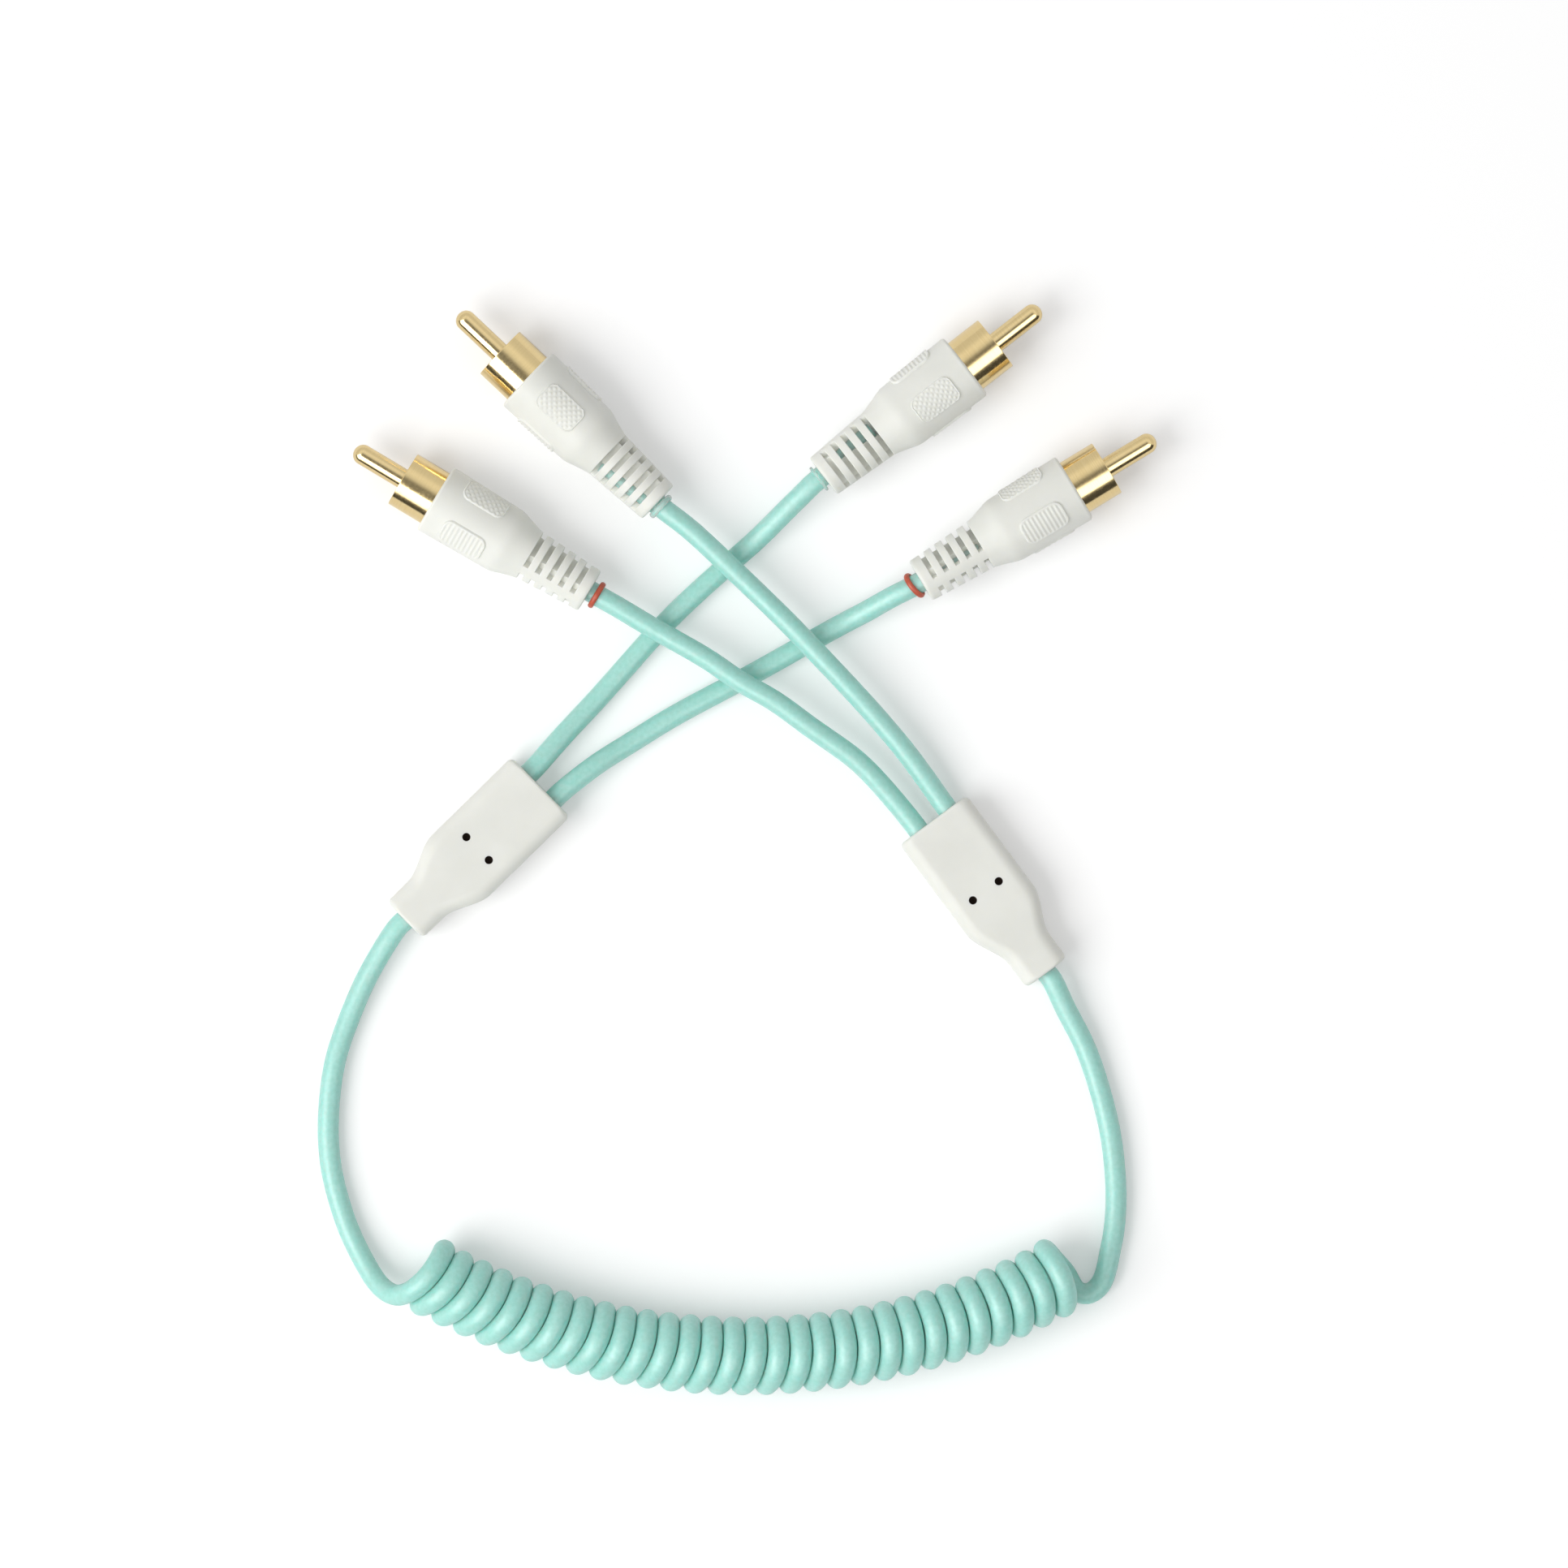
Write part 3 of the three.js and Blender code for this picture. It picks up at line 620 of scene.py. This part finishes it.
def set_camera():
    """Straight down over the middle of the photograph's view, from far off with a long lens."""
    data = bpy.data.cameras.new("camera")
    data.sensor_width = SENSOR_WIDTH
    data.lens = SENSOR_WIDTH * CAMERA_HEIGHT / VIEW_WIDTH
    data.clip_end = FAR_CLIP
    camera = bpy.data.objects.new("camera", data)
    camera.location = [place * METRES for place in (*CAMERA_CENTRE, CAMERA_HEIGHT)]
    bpy.context.scene.collection.objects.link(camera)
    bpy.context.scene.camera = camera


set_camera()


# Cords

def slot_middles():
    """The middle of each slot along the plug, from the one nearest the pin."""
    return [RELIEF_START - i * SLOT_PITCH - SLOT_WIDTH / 2 for i in range(SLOT_COUNT)]


def plug_end(number):
    """The cord inside its plug: off the axis by the plug's own drift at each slot, then out."""
    inside = [(x, drift, 0) for x, drift in zip(slot_middles(), PLUGS[number]["cord_drift"])]
    drift = DRIFT_AT_EXIT * PLUGS[number]["cord_drift"][-1]
    outside = [(-EXIT_LEAD, drift, 0), (-STRAIGHT_LEAD, drift * DRIFT_AFTER_LEAD, 0)]
    return on_plug(number, [*inside, *outside])


def socket_end(name, side):
    """The cord from inside a splitter's wide end, straight out."""
    y = side * LEG_SPACING / 2
    return on_splitter(name, [(SOCKET_DEPTH, y, 0), (0, y, 0), (-STRAIGHT_LEAD, y, 0)])


def stem_socket(name):
    """The main cord from inside a splitter's narrow end, straight out."""
    ways = (-SOCKET_DEPTH, 0, STRAIGHT_LEAD)
    return on_splitter(name, [(SPLITTER_LENGTH + way, 0, 0) for way in ways])


def winding():
    """The coil's turns, left-handed on a bow: at the turn's angle a, the cord's middle is at
    winding radius times cos a outward of the bow and sin a above it, and a pitch farther along
    the bow for each whole turn, counted from the top of the first one. The turns lean, their
    tops farther along by coil lean times sin a to the lean's power, and slant, their inner sides
    farther along by a slant that changes evenly from the first strand to the last. The end turns
    are a little wider."""
    last = LAST_TURN_ANGLE + 360 * (COIL_STRANDS - 1)
    points = int((last - FIRST_TURN_ANGLE) / 360 * POINTS_A_TURN)
    angle = np.linspace(FIRST_TURN_ANGLE, last, points)
    turn = np.radians(angle)
    strand = angle / 360
    slant = FIRST_SLANT + (LAST_SLANT - FIRST_SLANT) * strand / COIL_STRANDS
    along = COIL_PITCH * (strand - TOP_OF_TURN)
    along += COIL_LEAN * np.maximum(np.sin(turn), 0) ** LEAN_POWER
    along += slant * (0.5 - 0.5 * np.cos(turn))
    bow = np.radians(BOW_START_ANGLE) + along / BOW_RADIUS
    near, far = END_TURNS
    middle = smooth(near, far, strand) * smooth(COIL_STRANDS - near, COIL_STRANDS - far, strand)
    radius = BOW_RADIUS + (WINDING_RADIUS + END_TURN_WIDER * (1 - middle)) * np.cos(turn)
    return np.stack(
        [
            BOW_CENTRE[0] + radius * np.cos(bow),
            BOW_CENTRE[1] + radius * np.sin(bow),
            COIL_AXIS_HEIGHT + WINDING_RADIUS * np.sin(turn),
        ],
        1,
    )


def tube_piece(name, line, radius, replaced):
    """A round cord along a line, its UV map running along the line's length."""
    rings = rings_along(line, radius, CORD_SIDES)
    run = np.concatenate([[0], np.cumsum(np.linalg.norm(np.diff(line, axis=0), axis=1))])
    piece = closed_piece(name, rings, MINT, "mint_cord", along=run, sharp=0)
    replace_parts(piece, *replaced)
    return piece


def leg_line(number):
    """A leg's line, from inside its splitter to inside its plug."""
    name, side = LEG_HOMES[number]
    route = [*socket_end(name, side), *lying(LEG_RUNS[number])[::-1], *plug_end(number)[::-1]]
    return smooth_line(route, CORD_STEP)


def main_line():
    """The main cord's line: the left stem, the coil and the right stem."""
    left = [*stem_socket("left"), *lying(STEM_RUNS["left"])]
    right = [*stem_socket("right"), *lying(STEM_RUNS["right"])]
    return smooth_line([*left, *winding(), *right[::-1]], CORD_STEP)


def main_radius(line):
    """The main cord's radius at each point. In the coil it is half the distance to the nearest
    point of another turn, within limits, so that the turns touch all along. It eases to the
    plain radius at the coil's ends."""
    place = np.arange(len(line))
    distance = np.linalg.norm(line[:, None] - line[None], axis=2)
    distance[np.abs(place[:, None] - place) < NEXT_TURN] = np.inf
    touching = np.clip(distance.min(axis=1) / 2, *COIL_RADII)
    padded = np.pad(touching, RADIUS_EVENING // 2, mode="edge")
    touching = np.convolve(padded, np.ones(RADIUS_EVENING) / RADIUS_EVENING, mode="valid")
    coil_ends = winding()[[0, -1]]
    first, last = (int(np.argmin(np.linalg.norm(line - end, axis=1))) for end in coil_ends)
    coiled = smooth(first, first + COIL_FADE, place) * smooth(last, last - COIL_FADE, place)
    return CORD_RADIUS + (touching - CORD_RADIUS) * coiled


leg_lines = {number: leg_line(number) for number in PLUGS}
for number, line in leg_lines.items():
    tube_piece(
        f"cord_leg_{number}", line, np.full(len(line), CORD_RADIUS),
        [f"leg_cord_{number}"],
    )

main_cord = main_line()
tube_piece(
    "cord_main", main_cord, main_radius(main_cord),
    ["stem_cord_left", "coil_cord", "stem_cord_right"],
)


# Plug pieces

def slot_edges():
    """(start, end) of each slot along the plug."""
    return [(x - SLOT_WIDTH / 2, x + SLOT_WIDTH / 2) for x in slot_middles()]


def shell_rows():
    """Where the shell's rows lie along the plug: close together at the slots' edges and under
    the pads, wider apart on the plain parts."""
    rows = [
        np.linspace(RELIEF_ROUND, BODY_START, RELIEF_ROWS),
        np.linspace(BODY_START, SHELL_LENGTH - FACE_ROUND, BODY_ROWS),
    ]
    near = np.array([*EDGE_ROWS, SLOT_EDGE_ROUND])
    for start, end in slot_edges():
        floor = np.array([start + FLOOR_ROW_INSET, (start + end) / 2, end - FLOOR_ROW_INSET])
        rows += [start - near, end + near, floor]
    half = PAD_LENGTH / 2 + PAD_ROW_MARGIN
    rows.append(np.arange(PAD_MIDDLE - half, PAD_MIDDLE + half, PAD_ROW_STEP))
    rows = np.unique(np.round(np.concatenate(rows), 4))
    return rows[np.concatenate([[True], np.diff(rows) > LEAST_ROW_GAP])]


def plain_radius(x):
    """The shell's radius without pads and slots, its corner at the body's back rounded by
    taking the mean of the plain outline over a short way before and after each place."""
    ways = np.linspace(-TAPER_ROUND, TAPER_ROUND, TAPER_ROUND_PLACES)
    rounded = np.mean([sharp_radius(x + way) for way in ways], axis=0)
    return np.where(x > RELIEF_START + TAPER_ROUND, rounded, sharp_radius(x))


def sharp_radius(x):
    """A cone along the strain relief, a rise to the body as a power of the way along, and a
    body that widens a little to the face."""
    relief = RELIEF_END_RADIUS + (NECK_RADIUS - RELIEF_END_RADIUS) * x / RELIEF_START
    share = np.clip((x - RELIEF_START) / (BODY_START - RELIEF_START), 0, 1)
    rise = NECK_RADIUS + (BODY_BACK_RADIUS - NECK_RADIUS) * share**TAPER_POWER
    widen = (BODY_FRONT_RADIUS - BODY_BACK_RADIUS) * (x - BODY_START) / (SHELL_LENGTH - BODY_START)
    return np.where(x < RELIEF_START, relief, rise + np.where(x > BODY_START, widen, 0))


def edge_drop(x):
    """How far the relief's rings are rounded off at the slots: a quarter circle at each edge."""
    away = np.full_like(x, SLOT_EDGE_ROUND)
    for start, end in slot_edges():
        away = np.minimum(away, np.where(x <= start, start - x, np.where(x >= end, x - end, 0)))
    inward = SLOT_EDGE_ROUND - away
    return SLOT_EDGE_ROUND - np.sqrt(np.maximum(SLOT_EDGE_ROUND**2 - inward**2, 0))


def rounded_box(along, across, half_length, half_width, corner):
    """Distance outside a rectangle with rounded corners, negative inside it."""
    u, v = np.abs(along) - (half_length - corner), np.abs(across) - (half_width - corner)
    return np.hypot(np.maximum(u, 0), np.maximum(v, 0)) + np.minimum(np.maximum(u, v), 0) - corner


def pad_height(x, around, angle, ribbed):
    """A pad that stands out by pad raise inside a rounded outline, with a soft edge. Inside its
    border, ribs across it sink by a raised cosine to the rib power, or a knurl leaves standing
    the product of two slanted cosines, squared."""
    turn = (around - np.radians(angle) + np.pi) % (2 * np.pi) - np.pi
    across = BODY_FRONT_RADIUS * turn
    along = x - PAD_MIDDLE
    edge = rounded_box(along, across, PAD_LENGTH / 2, PAD_WIDTH / 2, PAD_CORNER)
    raised = PAD_RAISE * smooth(PAD_EDGE / 2, -PAD_EDGE / 2, edge)
    worked = smooth(0, -BORDER_EDGE, edge + (RIB_BORDER if ribbed else KNURL_BORDER))
    if ribbed:
        sunk = RIB_DEPTH * (0.5 - 0.5 * np.cos(2 * np.pi * along / RIB_PITCH)) ** RIB_POWER
    else:
        first = np.cos(np.pi * (along + across) / (KNURL_PITCH * 2**0.5))
        second = np.cos(np.pi * (along - across) / (KNURL_PITCH * 2**0.5))
        sunk = KNURL_DEPTH * (1 - (first * second) ** 2)
    return raised - worked * sunk


def slot_reach(around, outline, core_end):
    """Reach of the slotted section in each direction: a bar across the plug, and the core's
    block, which ends at core end on the cord's side. The farther of the two counts."""
    c, s = np.cos(around), np.maximum(np.abs(np.sin(around)), ALMOST_NOTHING)
    bar = HALF_BAR / s
    side = np.where(c > 0, core_end, CORE_HALF_WIDTH) / np.maximum(np.abs(c), ALMOST_NOTHING)
    core = np.minimum(side, CORE_HALF_HEIGHT / s)
    return np.minimum(np.maximum(bar, core), outline)


def shell_piece(number):
    """Radius as a function of the distance along the plug and the angle round it. The rows then
    turn in at the face to the barrel, and at the other end to the cord."""
    rows = shell_rows()
    around = np.linspace(0, 2 * np.pi, SHELL_COLUMNS, endpoint=False)
    x, turn = np.meshgrid(rows, around, indexing="ij")
    outline = plain_radius(x)
    radius = outline - edge_drop(x) * (np.abs(np.sin(turn)) * outline > HALF_BAR)
    for angle, ribbed in PADS:
        radius = radius + pad_height(x, turn, angle, ribbed)
    for (start, end), core_end in zip(slot_edges(), PLUGS[number]["core_end"]):
        inside = (x > start + SLOT_WALL) & (x < end - SLOT_WALL)
        radius = np.where(inside, slot_reach(turn, outline, core_end), radius)

    def turned_rows(profile):
        """The places and radii of a profile's points, each radius for all columns."""
        places, radii = zip(*profile)
        return np.array(places), np.array([[r] * SHELL_COLUMNS for r in radii])

    back = [*CORD_MOUTH] + rounded_corner(
        (RELIEF_ROUND, RELIEF_END_RADIUS - RELIEF_ROUND), RELIEF_ROUND, 180, 95)
    front = rounded_corner(
        (SHELL_LENGTH - FACE_ROUND, BODY_FRONT_RADIUS - FACE_ROUND), FACE_ROUND, 85, 0)
    seat = BARREL_RADIUS + BARREL_SEAT_GAP
    front += [(SHELL_LENGTH, seat), (SHELL_LENGTH - BARREL_SEAT_DEPTH, seat)]
    back_x, back_radius = turned_rows(back)
    front_x, front_radius = turned_rows(front)
    all_x = np.concatenate([back_x, rows, front_x])
    all_radius = np.vstack([back_radius, radius, front_radius])
    grid = np.stack(
        [np.broadcast_to(all_x[:, None], all_radius.shape),
         all_radius * np.cos(around), all_radius * np.sin(around)], -1)
    piece = closed_piece(
        f"shell_{number}", on_plug(number, grid), VINYL, "shell_vinyl", sharp=SHELL_SHARP_ANGLE)
    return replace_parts(piece, f"plug_{number}_shell")


def barrel_piece(number):
    """A thin wall turned about the plug's axis, its rim rounded inside and out."""
    outer, inner, edge = BARREL_RADIUS, BARREL_RADIUS - BARREL_WALL, BARREL_EDGE
    profile = [(BARREL_BACK, outer)]
    plain = np.linspace(BARREL_BACK + FIRST_METAL_ROW, BARREL_FRONT - 2 * edge, BARREL_ROWS)
    profile += [(x, outer) for x in plain]
    profile += rounded_corner((BARREL_FRONT - edge, outer - edge), edge, 90, 0)
    profile += rounded_corner((BARREL_FRONT - edge, inner + edge), edge, 0, -90)
    profile += [(BARREL_BACK, inner)]
    grid = turned(profile, METAL_COLUMNS)
    along = np.array([x for x, _ in profile] + [BARREL_BACK - CLOSING_RUN])
    piece = closed_piece(
        f"barrel_{number}", on_plug(number, grid), GOLD, "gold_plate", along=along, hoop=True)
    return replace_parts(piece, f"plug_{number}_barrel")


def pin_piece(number):
    """A rod turned about the plug's axis, its nose a quarter of an ellipse."""
    nose = np.radians(np.linspace(0, PIN_NOSE_END_ANGLE, PIN_NOSE_ROWS))
    plain = np.linspace(PIN_BACK + FIRST_METAL_ROW, PIN_TIP - PIN_NOSE - PIN_NOSE_LEAD, PIN_ROWS)
    profile = [(PIN_BACK, PIN_RADIUS - PIN_BACK_DRAW)]
    profile += [(x, PIN_RADIUS) for x in plain]
    profile += [(PIN_TIP - PIN_NOSE * (1 - np.sin(a)), PIN_RADIUS * np.cos(a)) for a in nose]
    grid = turned(profile, METAL_COLUMNS // 2)
    along = np.array([x for x, _ in profile])
    piece = closed_piece(f"pin_{number}", on_plug(number, grid), GOLD, "gold_plate", along=along)
    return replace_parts(piece, f"plug_{number}_pin")


def insulator_piece(number):
    """The disc at the bottom of the barrel, round the pin, its edges rounded."""
    outer = BARREL_RADIUS - BARREL_WALL - INSULATOR_OUTER_GAP
    inner, edge = PIN_RADIUS + INSULATOR_INNER_GAP, INSULATOR_EDGE
    profile = [(INSULATOR_BACK, outer)]
    profile += rounded_corner((INSULATOR_FRONT - edge, outer - edge), edge, 90, 0)
    profile += rounded_corner((INSULATOR_FRONT - edge, inner + edge), edge, 0, -90)
    profile += [(INSULATOR_BACK, inner)]
    piece = closed_piece(
        f"insulator_{number}", on_plug(number, turned(profile, METAL_COLUMNS)), IVORY,
        "insulator_plastic", hoop=True)
    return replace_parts(piece, f"plug_{number}_insulator")


def ring_piece(number):
    """A hoop round the cord where it leaves the plug: an oval section carried round a circle,
    square to the plug, then swung and leant as the real one is."""
    plug = PLUGS[number]
    line = leg_lines[number][::-1]
    own_x = laid_back(number, line)[:, 0]
    i = int(np.argmin(np.abs(own_x + plug["stand"])))
    heading = plug["heading"] + plug["swing"]
    section = np.linspace(0, 2 * np.pi, RING_SECTION_POINTS, endpoint=False)
    middle, half = (RING_INNER + RING_OUTER) / 2, (RING_OUTER - RING_INNER) / 2
    half_width = plug["ring_width"] / 2
    profile = np.stack([half_width * np.sin(section), middle + half * np.cos(section)], 1)
    c, s = np.cos(np.radians(plug["lean"])), np.sin(np.radians(plug["lean"]))
    leant = turned(profile, RING_COLUMNS) @ np.array([[c, 0, s], [0, 1, 0], [-s, 0, c]])
    look = (RED, "red_ring") if plug["ring"] == "red" else (CLEAR, "clear_ring")
    piece = closed_piece(
        f"ring_{number}", laid(leant, line[i][:2], line[i][2], heading), *look, hoop=True, sharp=0)
    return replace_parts(piece, f"marker_ring_{number}")


def laid_back(number, points):
    """Points of the table's frame in the plug's own axes."""
    plug = PLUGS[number]
    origin = np.array([*plug["exit"], plug["height"]])
    axes = laid(np.eye(3), (0, 0), 0, plug["heading"], plug["roll"])
    return (np.asarray(points) - origin) @ axes.T


for number in PLUGS:
    shell_piece(number)
    barrel_piece(number)
    pin_piece(number)
    insulator_piece(number)
    ring_piece(number)


# Splitters

def rounded_rectangle(half_width, half_height, edge, steps=SPLITTER_CORNER_STEPS):
    """Points round a rectangle with rounded corners, and along its flat sides between them."""
    points = []
    for side_y, side_z, start in ((1, 1, 0), (-1, 1, 90), (-1, -1, 180), (1, -1, 270)):
        centre = (side_y * (half_width - edge), side_z * (half_height - edge))
        points.append(np.array(rounded_corner(centre, edge, start, start + 90, steps)))
    outline = []
    for i, corner in enumerate(points):
        after = points[(i + 1) % 4][0]
        share = np.linspace(0, 1, steps)[1:-1, None]
        outline += [corner, corner[-1] * (1 - share) + after * share]
    return np.vstack(outline)


def splitter_grid():
    """Rounded rectangles square to the length: the half width eases from wide to narrow as
    3t² - 2t³ along the shoulder, and a quarter circle draws both in at each end."""
    ends = SPLITTER_CORNER * (1 - np.cos(np.linspace(0, np.pi / 2, SPLITTER_CORNER_STEPS)))
    start = SPLITTER_ROWS_START
    plain = np.linspace(start, SPLITTER_LENGTH - start, SPLITTER_ROWS)
    x = np.concatenate([ends, plain, (SPLITTER_LENGTH - ends)[::-1]])

    def drawn_in(radius):
        """How far a corner of this radius draws the outline in at each place."""
        short = np.clip(1 - np.minimum(x, SPLITTER_LENGTH - x) / radius, 0, 1)
        return radius * (1 - np.sqrt(1 - short**2))

    ease = smooth(SHOULDER_START, SHOULDER_START + SHOULDER_LENGTH, x)
    full_width = SPLITTER_HALF_WIDTH + (SPLITTER_END_HALF_WIDTH - SPLITTER_HALF_WIDTH) * ease
    half_width = full_width - drawn_in(SPLITTER_CORNER)
    half_height = SPLITTER_HALF_HEIGHT - drawn_in(SPLITTER_END_EDGE)
    rings = []
    for place, wide, high in zip(x, half_width, half_height):
        outline = rounded_rectangle(wide, high, SPLITTER_EDGE)
        rings.append(np.column_stack([np.full(len(outline), place), outline]))
    return np.array(rings)


def hole_cutter(name):
    """Two upright pegs, as deep as the pin holes, to cut them; their dark finish is painted shade.
    """
    pegs = []
    for side in (-1, 1):
        profile = [(-PIN_HOLE_DEPTH, PIN_HOLE_RADIUS), (PEG_TOP, PIN_HOLE_RADIUS)]
        peg = turned(profile, PEG_COLUMNS)[..., [2, 1, 0]]
        place = np.array([PIN_HOLE_PLACE, side * PIN_HOLE_SPACING / 2, SPLITTER_HALF_HEIGHT])
        pegs.append(closed_piece(
            f"peg_{name}_{side}", on_splitter(name, peg + place), HOLE_SHADE, "shell_vinyl", sharp=0))
    return pegs


def splitter_piece(name):
    """The splitter's body, with its two pin holes cut out at once and no modifier left."""
    piece = closed_piece(
        f"splitter_{name}_body", on_splitter(name, splitter_grid()), VINYL, "shell_vinyl",
        sharp=SHELL_SHARP_ANGLE)
    # The holes' walls take the pegs' dark finish, which is painted shade
    piece.data.materials.append(HOLE_SHADE)
    pegs = hole_cutter(name)
    for peg in pegs:
        cut = piece.modifiers.new(peg.name, "BOOLEAN")
        cut.operation = "DIFFERENCE"
        cut.solver = "EXACT"
        cut.material_mode = "TRANSFER"
        cut.object = peg
    cut_piece = piece.evaluated_get(bpy.context.evaluated_depsgraph_get())
    whole = bpy.data.meshes.new_from_object(cut_piece)
    piece.modifiers.clear()
    piece.data = whole
    for peg in pegs:
        bpy.data.objects.remove(peg)
    whole.set_sharp_from_angle(angle=np.radians(SHELL_SHARP_ANGLE))
    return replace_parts(piece, f"splitter_{name}")


for name in SPLITTERS:
    splitter_piece(name)


# Table and light

def table():
    """A wide plane just below the cable."""
    mesh = bpy.data.meshes.new("table")
    half = TABLE_HALF_SIZE
    corners = [(-half, -half, 0), (half, -half, 0), (half, half, 0), (-half, half, 0)]
    mesh.from_pydata(corners, [], [(0, 1, 2, 3)])
    mesh.materials.append(floor_finish())
    top = bpy.data.objects.new("table", mesh)
    top.location.z = -TABLE_DROP
    bpy.context.scene.collection.objects.link(top)


def lamp(name, azimuth, elevation, distance, size, power):
    """A square soft lamp that faces the cable from a compass angle and a height angle."""
    a, e = np.radians([azimuth, elevation])
    away = np.array([np.cos(e) * np.cos(a), np.cos(e) * np.sin(a), np.sin(e)])
    data = bpy.data.lights.new(name, "AREA")
    data.size = size
    data.energy = power
    light = bpy.data.objects.new(name, data)
    light.location = away * distance + np.array([CAMERA_CENTRE[0], CAMERA_CENTRE[1], 0]) * METRES
    light.rotation_euler = (np.pi / 2 - e, 0, a + np.pi / 2)
    bpy.context.scene.collection.objects.link(light)


def studio():
    """A soft world, white where the camera sees it, and one broad lamp. Only the metal and other
    shine see its walls, window and ceiling."""
    world = bpy.data.worlds.new("studio")
    bpy.context.scene.world = world
    world.use_nodes = True
    nodes, links = world.node_tree.nodes, world.node_tree.links
    path = nodes.new("ShaderNodeLightPath")
    direction = nodes.new("ShaderNodeTexCoord")

    def along(axis):
        """How far the direction points along an axis."""
        dot = nodes.new("ShaderNodeVectorMath")
        dot.operation = "DOT_PRODUCT"
        dot.inputs[1].default_value = axis
        links.new(direction.outputs["Generated"], dot.inputs[0])
        return dot.outputs["Value"]

    def walls(levels, height):
        """The light of the walls at each height, as a share of the brightest."""
        ramp = nodes.new("ShaderNodeValToRGB")
        steps = ramp.color_ramp.elements
        steps[0].position, steps[1].position = levels[0][0], levels[-1][0]
        for place, _ in levels[1:-1]:
            steps.new(place)
        for step, (_, level) in zip(steps, levels):
            step.color = (level / BRIGHTEST, level / BRIGHTEST, level / BRIGHTEST, 1)
        links.new(along(height), ramp.inputs["Fac"])
        return ramp.outputs["Color"]

    share = nodes.new("ShaderNodeMapRange")
    share.inputs["From Min"].default_value = 0.0
    share.inputs["From Max"].default_value = FRONT_BLEND
    links.new(along(FRONT_DIRECTION), share.inputs["Value"])
    room = nodes.new("ShaderNodeMix")
    room.data_type = "RGBA"
    links.new(share.outputs["Result"], room.inputs["Factor"])
    links.new(walls(WALLS_BEHIND, (0, 0, 1)), room.inputs["A"])
    links.new(walls(WALLS_IN_FRONT, WINDOW_TILT), room.inputs["B"])
    bright = nodes.new("ShaderNodeVectorMath")
    bright.operation = "SCALE"
    bright.inputs["Scale"].default_value = BRIGHTEST
    links.new(room.outputs["Result"], bright.inputs[0])

    shiny = nodes.new("ShaderNodeMath")
    shiny.operation = "MAXIMUM"
    links.new(path.outputs["Is Glossy Ray"], shiny.inputs[0])
    links.new(path.outputs["Is Transmission Ray"], shiny.inputs[1])
    in_metal = nodes.new("ShaderNodeMix")
    in_metal.data_type = "RGBA"
    in_metal.inputs["A"].default_value = (WORLD_LIGHT, WORLD_LIGHT, WORLD_LIGHT, 1)
    links.new(shiny.outputs["Value"], in_metal.inputs["Factor"])
    links.new(bright.outputs["Vector"], in_metal.inputs["B"])
    seen = nodes.new("ShaderNodeMix")
    seen.data_type = "RGBA"
    seen.inputs["B"].default_value = (1, 1, 1, 1)
    links.new(path.outputs["Is Camera Ray"], seen.inputs["Factor"])
    links.new(in_metal.outputs["Result"], seen.inputs["A"])
    links.new(seen.outputs["Result"], nodes["Background"].inputs["Color"])
    lamp("key", **KEY_LAMP)


table()
studio()
